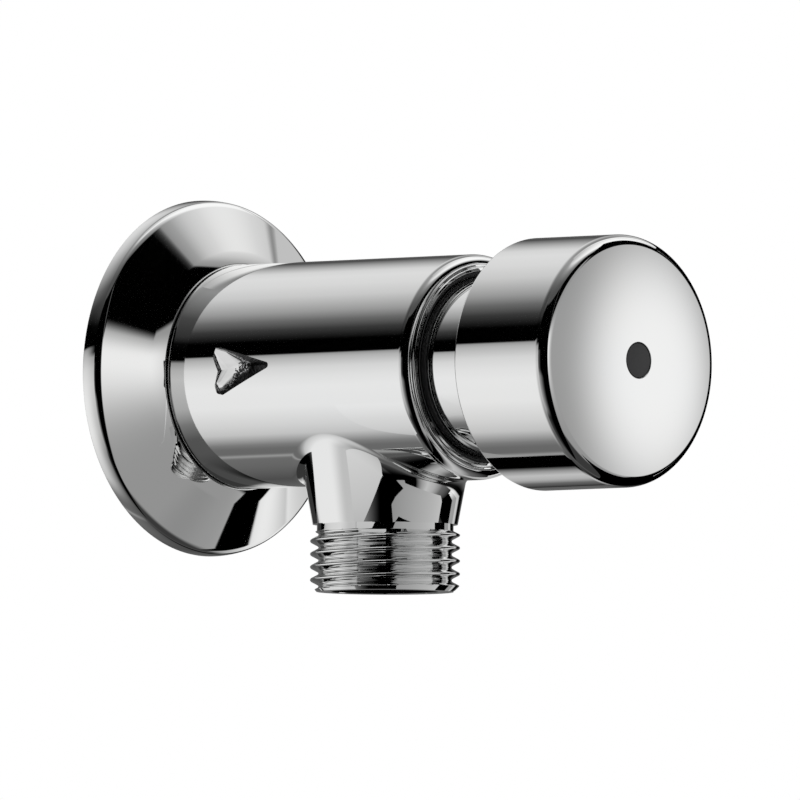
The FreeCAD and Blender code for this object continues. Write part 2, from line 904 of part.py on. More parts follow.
def build_timing_cylinder():
    length = cylinder_front - partition_front
    bevel = dim.cylinder_wall / 4
    return turned("timing_cylinder", partition_front, [
        (dim.cylinder_bore, 0),
        (cylinder_radius, 0),
        (cylinder_radius, length - bevel),
        (cylinder_radius - bevel, length),
        (dim.cylinder_bore, length),
    ])


def build_cylinder_head():
    """Front end of the timing cylinder, with the spindle's hole, its ring groove and two key holes."""
    plug_radius = dim.cylinder_bore - dim.cylinder_fit
    ring_half = dim.head_ring_section * 0.6
    ring_middle = (dim.head_plug + dim.head_flange) / 2
    ring_outer = dim.spindle_radius + dim.seal_touch + dim.head_ring_section + dim.ring_play
    length = dim.head_plug + dim.head_flange
    bevel = dim.head_flange / 4
    body = turned("cylinder_head", head_back, [
        (spindle_hole, 0),
        (plug_radius, 0),
        (plug_radius, dim.head_plug),
        (cylinder_radius - bevel, dim.head_plug),
        (cylinder_radius - bevel, length - bevel),
        (cylinder_radius - bevel * 2, length),
        (spindle_hole, length),
        (spindle_hole, ring_middle + ring_half),
        (ring_outer, ring_middle + ring_half),
        (ring_outer, ring_middle - ring_half),
        (spindle_hole, ring_middle - ring_half),
    ])
    sketch = new_sketch(body, "key_outline", "XY_Plane", length)
    draw_circle(sketch, (dim.key_circle, 0), dim.key_hole)
    key = pocket(body, "key", sketch, dim.key_depth)
    round_about(body, "key_holes", key, KEY_HOLE_COUNT)
    return body


def build_gland_nut():
    """Ring nut in the barrel's lip: holds the cartridge down and carries the bush and the wiper."""
    length = gland_front - partition_front
    collar_back = length - dim.gland_collar
    collar_outer = mouth_radius - dim.ring_play
    wiper_outer = guide_bore + dim.wiper_wall
    wiper_floor = length - dim.wiper_inset - dim.wiper_height
    face_middle = (wiper_outer + collar_outer) / 2
    groove_half = dim.gland_ring_groove / 2
    bevel = dim.gland_ring_groove
    return turned("gland_nut", partition_front, [
        (bush_radius, 0),
        (gland_outer, 0),
        (gland_outer, collar_back),
        (collar_outer, collar_back),
        (collar_outer, length - bevel),
        (collar_outer - bevel, length),
        (face_middle + groove_half, length),
        (face_middle, length - groove_half),
        (face_middle - groove_half, length),
        (wiper_outer, length),
        (wiper_outer, wiper_floor),
        (bush_radius, wiper_floor),
    ])


def build_guide_bush():
    length = gland_front - dim.wiper_inset - dim.wiper_height - partition_front - dim.sleeve_room
    return turned("guide_bush", partition_front + dim.sleeve_room / 2, [
        (guide_bore, 0),
        (bush_radius, 0),
        (bush_radius, length),
        (guide_bore, length),
    ])


def build_wiper_seal():
    """Rubber ring in the nut's mouth, with a lip that rides on the neck."""
    outer = guide_bore + dim.wiper_wall - dim.ring_play
    heel = guide_bore + dim.wiper_wall / 3
    return turned("wiper_seal", gland_front - dim.wiper_inset - dim.wiper_height, [
        (heel, 0),
        (outer, 0),
        (outer, dim.wiper_height),
        (guide_bore + dim.wiper_wall / 2, dim.wiper_height),
        (guide_bore, dim.wiper_height * 0.75),
        (heel, dim.wiper_height * 0.4),
    ])


def arc_from(start, direction, end):
    """The arc that leaves start along a direction and ends at a point, as an edge."""
    chord = end - start
    sideways = chord - direction * chord.dot(direction)
    sideways.normalize()
    radius = chord.Length ** 2 / (2 * chord.dot(sideways))
    centre = start + sideways * radius
    outwards = (start + end) * 0.5 - centre
    outwards.normalize()
    return Part.Arc(start, centre + outwards * radius, end).toShape()


def two_arcs(start, leaving, end, arriving):
    """Two arcs that join two points and follow a given direction at each of them."""
    chord, both = end - start, leaving + arriving
    turn = 2 * (1 - leaving.dot(arriving))
    along = chord.dot(both)
    reach = (math.sqrt(along ** 2 + turn * chord.dot(chord)) - along) / turn
    middle = (start + end + (leaving - arriving) * reach) * 0.5
    back = arc_from(end, -arriving, middle)
    return [arc_from(start, leaving, middle), back]


def build_return_spring():
    """Compression spring of round wire, with a closed turn and a flat-ground face at each end."""
    spring = doc.addObject("Part::Feature", "return_spring")
    spring.Label = "return_spring"
    turns, mean = dim.spring_turns.value, dim.spring_mean_radius.value
    length, closed = spring_length.value, dim.closed_pitch.value
    open_pitch = (length - 2 * closed) / (turns - 2)

    def height(turn):
        if turn <= 1:
            return closed * turn
        if turn >= turns - 1:
            return length - closed * (turns - turn)
        return closed + open_pitch * (turn - 1)

    def place(turn):
        angle = 2 * math.pi * turn
        return Vector(mean * math.cos(angle), mean * math.sin(angle), height(turn))

    def heading(turn):
        angle = 2 * math.pi * turn
        nearby = 0.25
        rise = (height(turn + nearby) - height(turn - nearby)) / (4 * math.pi * nearby)
        direction = Vector(-mean * math.sin(angle), mean * math.cos(angle), rise)
        direction.normalize()
        return direction

    steps = math.ceil(turns * 2)
    stops = [turns * index / steps for index in range(steps + 1)]
    edges = []
    for first, last in zip(stops, stops[1:]):
        edges += two_arcs(place(first), heading(first), place(last), heading(last))
    path = Part.Wire(edges)
    profile = Part.Wire(Part.makeCircle(dim.wire.value / 2, place(0), heading(0)))
    coil = path.makePipeShell([profile], True, False)
    ground = Part.makeCylinder(mean + dim.wire.value, length)
    spring.Shape = coil.common(ground)
    spring.Placement = FreeCAD.Placement(
        Vector(0, -boss_front.value, 0), FreeCAD.Rotation(Vector(1, 0, 0), 90))
    print("return_spring: gap between closed turns %.2f, between open turns %.2f" % (
        closed - dim.wire.value, open_pitch - dim.wire.value))
    return spring


def build_spindle():
    """Rod from the valve washer to the button: threaded tail, collars, clip groove and a screw hole."""
    length = boss_floor - spindle_back
    shoulder_back = washer_front - spindle_back
    collar_front = piston_back - spindle_back
    collar_back = collar_front - dim.collar_height
    clip_back = piston_front - spindle_back
    bevel = dim.spindle_thread / 5
    groove_radius = dim.spindle_radius - dim.groove_depth
    return turned("spindle", spindle_back, [
        (0, 0),
        (dim.spindle_thread - bevel, 0),
        (dim.spindle_thread, bevel),
        (dim.spindle_thread, shoulder_back),
        (dim.spindle_collar, shoulder_back),
        (dim.spindle_collar, shoulder_back + dim.collar_height),
        (dim.spindle_radius, shoulder_back + dim.collar_height),
        (dim.spindle_radius, collar_back),
        (dim.spindle_collar, collar_back),
        (dim.spindle_collar, collar_front),
        (dim.spindle_radius, collar_front),
        (dim.spindle_radius, clip_back),
        (groove_radius, clip_back),
        (groove_radius, clip_back + dim.clip_thickness),
        (dim.spindle_radius, clip_back + dim.clip_thickness),
        (dim.spindle_radius, length),
        (dim.screw_radius + dim.screw_play, length),
        (dim.screw_radius + dim.screw_play, length - dim.screw_depth),
        (0, length - dim.screw_depth),
    ])


def build_washer_holder():
    rim_inner = dim.washer_radius + dim.washer_play
    return turned("washer_holder", holder_back, [
        (dim.spindle_thread, 0),
        (holder_radius - dim.holder_rim, 0),
        (holder_radius, dim.holder_rim),
        (holder_radius, dim.holder_plate + dim.holder_lip),
        (rim_inner, dim.holder_plate + dim.holder_lip),
        (rim_inner, dim.holder_plate),
        (dim.spindle_thread, dim.holder_plate),
    ])


def build_seat_washer():
    bevel = dim.washer_thickness / 8
    return turned("seat_washer", washer_back, [
        (dim.spindle_thread, 0),
        (dim.washer_radius, 0),
        (dim.washer_radius, dim.washer_thickness - bevel),
        (dim.washer_radius - bevel, dim.washer_thickness),
        (dim.spindle_thread, dim.washer_thickness),
    ])


def hexagon(flats):
    """The six corners of a hexagon, from its size across the flats."""
    corner = flats * CORNER_FOR_FLATS
    return [
        (corner, 0),
        (corner / 2, flats / 2),
        (-corner / 2, flats / 2),
        (-corner, 0),
        (-corner / 2, -flats / 2),
        (corner / 2, -flats / 2),
    ]


def build_washer_nut():
    body = new_body("washer_nut", nut_back)
    sketch = new_sketch(body, "nut_outline", "XY_Plane")
    draw_outline(sketch, hexagon(dim.nut_flats))
    pad(body, "nut_block", sketch, dim.nut_height)
    corner = dim.nut_flats * CORNER_FOR_FLATS
    inside = dim.nut_flats / 2
    groove(body, "nut_hole", [
        (0, -CUT_MARGIN),
        (dim.spindle_thread, -CUT_MARGIN),
        (dim.spindle_thread, dim.nut_height + CUT_MARGIN),
        (0, dim.nut_height + CUT_MARGIN),
    ])
    groove(body, "nut_chamfer", [
        (inside, 0),
        (corner, (corner - inside) * 0.7),
        (corner + CUT_MARGIN, (corner - inside) * 0.7),
        (corner + CUT_MARGIN, 0),
    ])
    return body


def build_piston():
    """Timing piston: spring pocket at the back, groove for the lip seal, and the metering hole."""
    length = dim.piston_length
    groove_front = length - dim.front_land
    groove_back = groove_front - dim.lip_groove
    body = turned("piston", piston_back, [
        (dim.spindle_radius, 0),
        (dim.piston_hub, 0),
        (dim.piston_hub, dim.spring_pocket),
        (dim.pocket_outer, dim.spring_pocket),
        (dim.pocket_outer, 0),
        (dim.piston_radius, 0),
        (dim.piston_radius, groove_back),
        (dim.lip_groove_radius, groove_back),
        (dim.lip_groove_radius, groove_front),
        (dim.piston_radius - dim.front_land / 2, groove_front),
        (dim.piston_radius - dim.front_land / 2, length),
        (dim.spindle_radius, length),
    ])
    sketch = new_sketch(body, "metering_outline", "XY_Plane", -CUT_MARGIN)
    draw_circle(sketch, (dim.metering_circle, 0), dim.metering_hole)
    pocket(body, "metering_hole", sketch, length + 2 * CUT_MARGIN, reverse=True)
    return body


def build_piston_lip_seal():
    """U-section seal: its lips open towards the front, so it passes water on the way in only."""
    height = dim.lip_groove - dim.ring_play * 2
    inner = dim.lip_groove_radius + dim.ring_play
    heel = dim.piston_radius - dim.ring_play
    middle = (inner + dim.lip_reach) / 2
    lip = dim.lip_groove / 4
    return turned("piston_lip_seal", piston_front - dim.front_land - dim.lip_groove + dim.ring_play, [
        (inner, 0),
        (heel, 0),
        (dim.lip_reach, height),
        (dim.lip_reach - lip, height),
        (middle, height / 3),
        (inner + lip, height),
        (inner, height),
    ])


def build_piston_clip():
    """Open retaining clip in the spindle's groove, seen from the front as a C."""
    body = new_body("piston_clip", piston_front)
    sketch = new_sketch(body, "clip_outline", "XY_Plane")
    half = dim.clip_gap / 2
    inner = dim.spindle_radius - dim.groove_depth + dim.ring_play
    outer_back = square_root(dim.clip_radius * dim.clip_radius - half * half)
    inner_back = square_root(inner * inner - half * half)
    draw_outline(sketch, [
        (half, -outer_back),
        Bend(dim.clip_radius, 1),
        (dim.clip_radius, 0),
        Bend(dim.clip_radius, 1),
        (0, dim.clip_radius),
        Bend(dim.clip_radius, 1),
        (-dim.clip_radius, 0),
        Bend(dim.clip_radius, 1),
        (-half, -outer_back),
        (-half, -inner_back),
        Bend(inner, -1),
        (-inner, 0),
        Bend(inner, -1),
        (0, inner),
        Bend(inner, -1),
        (inner, 0),
        Bend(inner, -1),
        (half, -inner_back),
    ])
    pad(body, "clip_plate", sketch, dim.clip_thickness)
    return body


def build_metering_pin():
    """Headed pin in the piston's metering hole."""
    head = dim.pin_head_height
    length = head + dim.piston_length - dim.spring_pocket + dim.pin_stand
    tip = dim.metering_pin / 2
    return turned("metering_pin", spring_front - head, [
        (0, 0),
        (dim.pin_head, 0),
        (dim.pin_head, head),
        (dim.metering_pin, head),
        (dim.metering_pin, length - tip),
        (dim.metering_pin - tip, length),
        (0, length),
    ], across=dim.metering_circle)


def build_button_cap():
    """Polished cap: straight sides, a shallow domed face and an inner boss that the screw holds."""
    height = crown - cap_back
    inside = cap_inside - cap_back
    rim_drop = dim.cap_dome_radius - square_root(
        dim.cap_dome_radius * dim.cap_dome_radius - cap_radius * cap_radius)
    hole = dim.plug_radius + dim.plug_play
    hole_drop = dim.cap_dome_radius - square_root(
        dim.cap_dome_radius * dim.cap_dome_radius - hole * hole)
    web_back = boss_floor - cap_back
    web_front = screw_seat - cap_back
    body = turned("button_cap", cap_back, [
        (cap_bore, 0),
        (cap_radius, 0),
        (cap_radius, height - rim_drop),
        Bend(dim.cap_dome_radius, 1),
        (hole, height - hole_drop),
        (hole, web_front),
        (dim.screw_radius + dim.screw_play, web_front),
        (dim.screw_radius + dim.screw_play, web_back),
        (dim.cap_boss_radius, web_back),
        (dim.cap_boss_radius, inside),
        (cap_bore, inside),
    ])
    dress(body, "face_edge", "Fillet", ring_edge(cap_radius, height - rim_drop), dim.cap_face_round)
    dress(body, "rear_rim", "Fillet", ring_edge(cap_radius, 0.0), dim.cap_rim_round)
    return body


def build_push_sleeve():
    """The neck that slides in the barrel, with the disc that closes the cap's back."""
    length = hub_back - sleeve_back
    flange_back = sleeve_flange_back - sleeve_back
    flange_outer = cap_bore - dim.sleeve_flange_play
    stem = neck_outer + dim.sleeve_step
    bevel = dim.sleeve_step
    return turned("push_sleeve", sleeve_back, [
        (sleeve_bore, 0),
        (neck_outer - bevel, 0),
        (neck_outer, bevel),
        (neck_outer, flange_back),
        (flange_outer, flange_back),
        (flange_outer, flange_back + dim.sleeve_flange),
        (stem, flange_back + dim.sleeve_flange),
        (stem, length),
        (sleeve_bore, length),
    ])


def build_button_hub():
    """Plastic hub that fills the cap in front of the sleeve and centres the spindle."""
    outer = cap_bore - dim.hub_play
    boss = dim.cap_boss_radius + dim.hub_play
    return turned("button_hub", hub_back, [
        (dim.spindle_radius + dim.hub_play, 0),
        (outer, 0),
        (outer, dim.hub_thickness),
        (boss, dim.hub_thickness),
        (boss, dim.hub_thickness - dim.cap_boss_height),
        (dim.spindle_radius + dim.hub_play, dim.hub_thickness - dim.cap_boss_height),
    ])


def build_button_screw():
    """Cheese-head screw with a hexagon socket, hidden under the plug."""
    bevel = dim.screw_head / 8
    body = turned("button_screw", screw_end, [
        (0, 0),
        (dim.screw_radius - bevel, 0),
        (dim.screw_radius, bevel),
        (dim.screw_radius, dim.screw_length),
        (dim.screw_head_radius, dim.screw_length),
        (dim.screw_head_radius, dim.screw_length + dim.screw_head - bevel),
        (dim.screw_head_radius - bevel, dim.screw_length + dim.screw_head),
        (0, dim.screw_length + dim.screw_head),
    ])
    sketch = new_sketch(body, "socket_outline", "XY_Plane", dim.screw_length + dim.screw_head)
    draw_outline(sketch, hexagon(dim.socket_flats))
    pocket(body, "socket", sketch, dim.socket_depth)
    return body


def build_centre_plug():
    """Plug in the face, very slightly crowned like the dome round it."""
    edge = dim.plug_thickness - dim.plug_rise
    crown_radius = (dim.plug_radius * dim.plug_radius + dim.plug_rise * dim.plug_rise) / (2 * dim.plug_rise)
    bevel = dim.plug_rise
    return turned("centre_plug", crown - dim.plug_thickness, [
        (0, 0),
        (dim.plug_radius - bevel, 0),
        (dim.plug_radius, bevel),
        (dim.plug_radius, edge),
        Bend(crown_radius, 1),
        (0, dim.plug_thickness),
    ])


ring_mean = dim.cartridge_bore - dim.ring_section / 2
head_ring_mean = dim.spindle_radius + dim.seal_touch + dim.head_ring_section / 2
head_ring_station = head_back + (dim.head_plug + dim.head_flange) / 2

PIECES = [
    build_valve_body(),
    build_wall_flange(),
    build_wall_seal_ring(),
    build_inlet_strainer(),
    build_cartridge_body(),
    build_seat_ring(),
    build_ring("cartridge_o_ring", (ring_groove_back + ring_groove_front) / 2, ring_mean,
               dim.ring_section - dim.ring_play * 2),
    build_cartridge_gasket(),
    build_timing_cylinder(),
    build_cylinder_head(),
    build_ring("head_o_ring", head_ring_station, head_ring_mean, dim.head_ring_section),
    build_gland_nut(),
    build_guide_bush(),
    build_wiper_seal(),
    build_return_spring(),
    build_spindle(),
    build_washer_holder(),
    build_seat_washer(),
    build_washer_nut(),
    build_piston(),
    build_piston_lip_seal(),
    build_piston_clip(),
    build_metering_pin(),
    build_button_cap(),
    build_push_sleeve(),
    build_button_hub(),
    build_button_screw(),
    build_centre_plug(),
]

doc.recompute()

# Checks, then one file for each piece

for item in doc.Objects:
    if any(state in ("Invalid", "Error") for state in item.State):
        raise RuntimeError("%s failed: %s" % (item.Name, item.State))
for piece in PIECES:
    if piece.Shape.isNull() or not piece.Shape.isValid() or piece.Shape.Volume <= 0:
        raise RuntimeError("%s has no valid solid" % piece.Label)

os.makedirs("parts", exist_ok=True)
for piece in PIECES:
    piece.Shape.exportStep(os.path.join("parts", piece.Label + ".step"))
    box = piece.Shape.BoundBox
    print("%-18s solids %d  volume %9.2f  x %7.2f %7.2f  y %7.2f %7.2f  z %7.2f %7.2f" % (
        piece.Label, len(piece.Shape.Solids), piece.Shape.Volume,
        box.XMin, box.XMax, box.YMin, box.YMax, box.ZMin, box.ZMax))
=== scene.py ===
import logging
import math
from dataclasses import dataclass, field
from enum import Enum
from typing import Any, Sequence

import bpy
import numpy as np
from mathutils import Matrix, Vector


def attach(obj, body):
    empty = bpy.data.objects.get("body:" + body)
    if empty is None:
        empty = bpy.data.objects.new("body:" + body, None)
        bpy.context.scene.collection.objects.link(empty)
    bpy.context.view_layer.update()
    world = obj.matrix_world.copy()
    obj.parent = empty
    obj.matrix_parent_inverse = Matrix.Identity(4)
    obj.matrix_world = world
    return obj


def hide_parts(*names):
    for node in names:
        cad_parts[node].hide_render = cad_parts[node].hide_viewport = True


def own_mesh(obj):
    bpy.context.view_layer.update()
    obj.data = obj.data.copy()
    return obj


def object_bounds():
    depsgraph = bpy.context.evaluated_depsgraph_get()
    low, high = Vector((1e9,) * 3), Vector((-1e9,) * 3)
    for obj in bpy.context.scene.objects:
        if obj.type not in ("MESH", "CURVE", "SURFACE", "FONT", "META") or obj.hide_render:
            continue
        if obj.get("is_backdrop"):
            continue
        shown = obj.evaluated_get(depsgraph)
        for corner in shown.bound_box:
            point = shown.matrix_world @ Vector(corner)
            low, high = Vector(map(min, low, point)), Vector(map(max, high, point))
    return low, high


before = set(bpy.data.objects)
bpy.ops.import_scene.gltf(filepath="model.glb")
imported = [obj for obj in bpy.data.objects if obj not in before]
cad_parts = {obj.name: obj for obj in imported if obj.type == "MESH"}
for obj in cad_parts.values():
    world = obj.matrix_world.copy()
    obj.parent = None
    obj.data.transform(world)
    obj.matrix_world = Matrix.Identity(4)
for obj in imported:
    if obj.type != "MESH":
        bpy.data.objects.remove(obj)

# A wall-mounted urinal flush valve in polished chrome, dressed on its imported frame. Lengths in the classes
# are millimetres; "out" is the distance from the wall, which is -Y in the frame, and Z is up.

MM = 0.001
Grid = np.ndarray
log = logging.getLogger("flush_valve")

# The plate's own tone: what it mirrors comes back darker by this share.
PLATE_TONE = 0.83

# Sizes that several pieces share.
BARREL_RADIUS = 15.75
BARREL_BACK = 6.3
NECK_RADIUS = 12.5


class Slot(Enum):
    """The record's material slots."""

    CHROME = "polished_chrome"
    BRASS = "bare_brass"
    STAINLESS = "stainless"
    RUBBER = "black_rubber"
    FIBRE = "fibre"
    WHITE_RESIN = "white_resin"
    GREY_RESIN = "grey_resin"
    BLACK_RESIN = "black_resin"


class Body(Enum):
    """The two bodies of the frame."""

    VALVE = "valve"
    BUTTON = "push_button"


# Shader expressions


class Value:
    """A socket in a node tree, on which the usual signs add Math nodes."""

    def __init__(self, graph: "Graph", socket: bpy.types.NodeSocket) -> None:
        """Wrap one output socket of a graph."""
        self.graph = graph
        self.socket = socket

    def __add__(self, other: "Value | float") -> "Value":
        """This value plus another."""
        return self.graph.maths("ADD", self, other)

    __radd__ = __add__

    def __sub__(self, other: "Value | float") -> "Value":
        """This value less another."""
        return self.graph.maths("SUBTRACT", self, other)

    def __rsub__(self, other: float) -> "Value":
        """A number less this value."""
        return self.graph.maths("SUBTRACT", other, self)

    def __mul__(self, other: "Value | float") -> "Value":
        """This value times another."""
        return self.graph.maths("MULTIPLY", self, other)

    __rmul__ = __mul__

    def __truediv__(self, other: "Value | float") -> "Value":
        """This value over another."""
        return self.graph.maths("DIVIDE", self, other)

    def __rtruediv__(self, other: float) -> "Value":
        """A number over this value."""
        return self.graph.maths("DIVIDE", other, self)


class Graph:
    """A node tree that is filled through expressions."""

    def __init__(self, tree: bpy.types.NodeTree) -> None:
        """Take over a tree and empty it."""
        self.tree = tree
        tree.nodes.clear()

    def node(self, kind: str, settings: dict[str, Any] | None = None,
             sockets: dict[str | int, Any] | None = None) -> bpy.types.Node:
        """Add a node.

        Args:
            kind: the node's type name.
            settings: its properties, set before its sockets; "stops" holds a ramp's (place, level) pairs.
            sockets: a value, a colour or a link for each input.
        Returns:
            The new node.
        """
        made = self.tree.nodes.new(kind)
        for name, setting in (settings or {}).items():
            if name == "stops":
                self._set_stops(made.color_ramp, setting)
            else:
                setattr(made, name, setting)
        for name, source in (sockets or {}).items():
            if isinstance(source, Value):
                self.tree.links.new(source.socket, made.inputs[name])
            elif isinstance(source, bpy.types.NodeSocket):
                self.tree.links.new(source, made.inputs[name])
            else:
                made.inputs[name].default_value = source
        return made

    @staticmethod
    def _set_stops(ramp: bpy.types.ColorRamp, stops: Sequence[tuple[float, float]]) -> None:
        """Give a ramp its grey stops.

        Args:
            ramp: the ramp, which starts with two stops.
            stops: (place, level) pairs in rising order.
        """
        while len(ramp.elements) < len(stops):
            ramp.elements.new(1.0)
        for element, (place, level) in zip(ramp.elements, stops):
            element.position = place
            element.color = (level, level, level, 1.0)

    def value(self, kind: str, output: str | int = 0, settings: dict[str, Any] | None = None,
              sockets: dict[str | int, Any] | None = None) -> Value:
        """Add a node and wrap one of its outputs.

        Args:
            kind: the node's type name.
            output: the name or number of the output.
            settings: the node's properties.
            sockets: its inputs.
        Returns:
            The wrapped output.
        """
        return Value(self, self.node(kind, settings, sockets).outputs[output])

    def maths(self, operation: str, *terms: "Value | float") -> Value:
        """Add a Math node on one, two or three terms."""
        return self.value("ShaderNodeMath", 0, {"operation": operation}, dict(enumerate(terms)))

    def step(self, x: Value, low: float, high: float) -> Value:
        """Smooth step: 0 below low, 1 above high."""
        return self.value("ShaderNodeMapRange", 0, {"interpolation_type": "SMOOTHSTEP"},
                          {"Value": x, "From Min": low, "From Max": high})

    def window(self, x: Value, low: float, high: float, soft: float) -> Value:
        """1 between low and high, 0 outside, with edges of the given softness."""
        return self.step(x, low - soft, low + soft) * (1.0 - self.step(x, high - soft, high + soft))

    def noise(self, place: Value, scale: float, detail: float = 3.0) -> Value:
        """Fractal noise from 0 to 1 at a place."""
        return self.value("ShaderNodeTexNoise", 0, None, {"Vector": place, "Scale": scale, "Detail": detail})

    def object_place(self, stretch: tuple[float, float, float] = (1.0, 1.0, 1.0)) -> Value:
        """Object coordinates, stretched along the axes."""
        place = self.value("ShaderNodeTexCoord", "Object")
        return self.value("ShaderNodeMapping", 0, None, {"Vector": place, "Scale": stretch})

    def blend(self, share: Value, first: Any, second: Any) -> Value:
        """Mix two colours by a share."""
        mixer = self.node("ShaderNodeMix", {"data_type": "RGBA"}, {0: share, 6: first, 7: second})
        return Value(self, mixer.outputs[2])


def colour(red: float, green: float, blue: float) -> tuple[float, float, float, float]:
    """A linear colour with its alpha."""
    return (red, green, blue, 1.0)


def new_surface(name: str) -> tuple[bpy.types.Material, Graph]:
    """Start a material.

    Args:
        name: the finish's name.
    Returns:
        The material and its empty graph.
    """
    material = bpy.data.materials.new(name)
    material.use_nodes = True
    return material, Graph(material.node_tree)


def close_surface(graph: Graph, sockets: dict[str | int, Any], height: Value | None, depth: float) -> None:
    """Join a Principled shader to the output, with the surface's relief as its bump.

    Args:
        graph: the material's graph.
        sockets: what feeds the shader's inputs.
        height: relief from 0 to 1, or None for none.
        depth: the relief's height in millimetres.
    """
    if height is not None:
        relief = graph.value("ShaderNodeBump", 0, None,
                             {"Strength": 1.0, "Distance": depth * MM, "Height": height})
        sockets = {**sockets, "Normal": relief}
    shader = graph.node("ShaderNodeBsdfPrincipled", None, sockets)
    graph.node("ShaderNodeOutputMaterial", None, {"Surface": shader.outputs[0]})


# Finishes


@dataclass(frozen=True)
class PolishedChrome:
    """Bright chrome plate: a mirror with faint polishing haze and a long, shallow waviness."""

    name: str = "bright chrome"
    tone: float = PLATE_TONE
    haze: float = 0.018
    waviness: float = 0.0012
    cloud_scale: float = 70.0
    wave_scale: float = 110.0
    wipe_scale: float = 900.0
    spot_scale: float = 2600.0

    def material(self) -> bpy.types.Material:
        """The plate's nodes.

        Returns:
            The finished material.
        """
        made, graph = new_surface(self.name)
        place = graph.object_place()
        wipes = graph.noise(graph.object_place((1.0, 0.12, 1.0)), self.wipe_scale, 4.0)
        clouds = graph.noise(place, self.cloud_scale, 2.0)
        spots = graph.step(graph.noise(place, self.spot_scale, 1.0), 0.70, 0.80)
        rough = self.haze + wipes * clouds * 0.035 + spots * 0.05
        warm = colour(self.tone, self.tone * 0.997, self.tone * 0.985)
        cool = colour(self.tone * 0.985, self.tone * 0.995, self.tone)
        wave = graph.noise(place, self.wave_scale, 1.0) + wipes * 0.02
        close_surface(graph, {"Base Color": graph.blend(clouds, warm, cool), "Metallic": 1.0,
                              "Roughness": rough}, wave, self.waviness)
        return made


@dataclass(frozen=True)
class CastChrome:
    """Plate over the sand-cast flanks of the arrow, with its ground and polished top; the flanks' near-black
    colour is painted shade.
    """

    name: str = "chrome over cast skin with painted shade"
    tone: tuple[float, float, float] = (PLATE_TONE, PLATE_TONE, PLATE_TONE)
    wiped: tuple[float, float, float] = (0.70, 0.70, 0.70)
    # Flank colour: painted near-black shade, standing in for the dark that the flanks mirror.
    skin: tuple[float, float, float] = (0.035, 0.035, 0.036)
    scuffed: tuple[float, float, float] = (0.75, 0.75, 0.76)
    grain: float = 0.22
    wipe_scale: float = 500.0
    coarse_scale: float = 1700.0
    ragged_scale: float = 2100.0
    pit_scale: float = 3000.0

    def material(self) -> bpy.types.Material:
        """The plate's nodes; the attribute cast rises from 0 on the top to 1 at the foot, and with it the
        painted near-black shade.

        Returns:
            The finished material.
        """
        made, graph = new_surface(self.name)
        place = graph.object_place()
        fall = graph.value("ShaderNodeAttribute", "Fac", {"attribute_name": "cast"})
        ragged = graph.noise(place, self.ragged_scale, 3.0)
        cast = graph.step(fall + (ragged - 0.5) * 1.1 * graph.step(fall, 0.02, 0.3), 0.20, 0.34)
        coarse = graph.noise(place, self.coarse_scale, 4.0)
        pits = graph.step(graph.noise(place, self.pit_scale, 2.0), 0.48, 0.62)
        pits = pits * (1.0 - graph.step(fall, 0.40, 0.85))
        wipes = graph.noise(graph.object_place((1.0, 0.3, 1.0)), self.wipe_scale, 2.0)
        relief = (coarse + pits * 0.35) * cast + wipes * 0.05
        bright = graph.blend(graph.step(wipes, 0.35, 0.75), colour(*self.tone), colour(*self.wiped))
        # The flanks' painted near-black shade, with the plate's own tone in the pits.
        flank_with_painted_shade = graph.blend(pits, colour(*self.skin), colour(*self.scuffed))
        rough = 0.03 + cast * (0.12 + coarse * 0.14)
        close_surface(graph, {"Base Color": graph.blend(cast, bright, flank_with_painted_shade), "Metallic": 1.0,
                              "Roughness": rough}, relief, self.grain)
        return made


@dataclass(frozen=True)
class TurnedMetal:
    """Bare turned or drawn metal, with tool rings round the valve's axis and a little tarnish."""

    name: str
    tone: tuple[float, float, float]
    tarnish: tuple[float, float, float]
    roughness: float
    ring_pitch: float = 0.16
    ring_depth: float = 0.006
    stain_scale: float = 260.0
    grain_scale: float = 2400.0

    def material(self) -> bpy.types.Material:
        """The metal's nodes.

        Returns:
            The finished material.
        """
        made, graph = new_surface(self.name)
        place = graph.object_place()
        parts = graph.node("ShaderNodeSeparateXYZ", None, {0: place})
        across, out, up = (Value(graph, parts.outputs[i]) for i in range(3))
        radius = graph.maths("SQRT", across * across + up * up)
        rings = graph.maths("SINE", (radius + out) * (2 * math.pi / (self.ring_pitch * MM)))
        stain = graph.noise(place, self.stain_scale, 5.0)
        grain = graph.noise(place, self.grain_scale, 3.0)
        share = graph.step(stain, 0.35, 0.75)
        rough = self.roughness + stain * 0.16 + grain * 0.06
        close_surface(graph, {"Base Color": graph.blend(share, colour(*self.tone), colour(*self.tarnish)),
                              "Metallic": 1.0, "Roughness": rough},
                      rings * 0.5 + grain * 0.6, self.ring_depth)
        return made


@dataclass(frozen=True)
class Moulded:
    """A moulded rubber, fibre or plastic, with a fine skin texture and slight mottling."""

    name: str
    tone: tuple[float, float, float]
    mottle: tuple[float, float, float]
    roughness: float
    grain_size: float = 0.35
    grain_depth: float = 0.012
    patch_scale: float = 180.0

    def material(self) -> bpy.types.Material:
        """The moulding's nodes.

        Returns:
            The finished material.
        """
        made, graph = new_surface(self.name)
        place = graph.object_place()
        skin = graph.noise(place, 1.0 / (self.grain_size * MM), 4.0)
        patches = graph.noise(place, self.patch_scale, 3.0)
        rough = self.roughness + (patches - 0.5) * 0.16 + (skin - 0.5) * 0.1
        close_surface(graph, {"Base Color": graph.blend(patches, colour(*self.tone), colour(*self.mottle)),
                              "Roughness": rough}, skin, self.grain_depth)
        return made


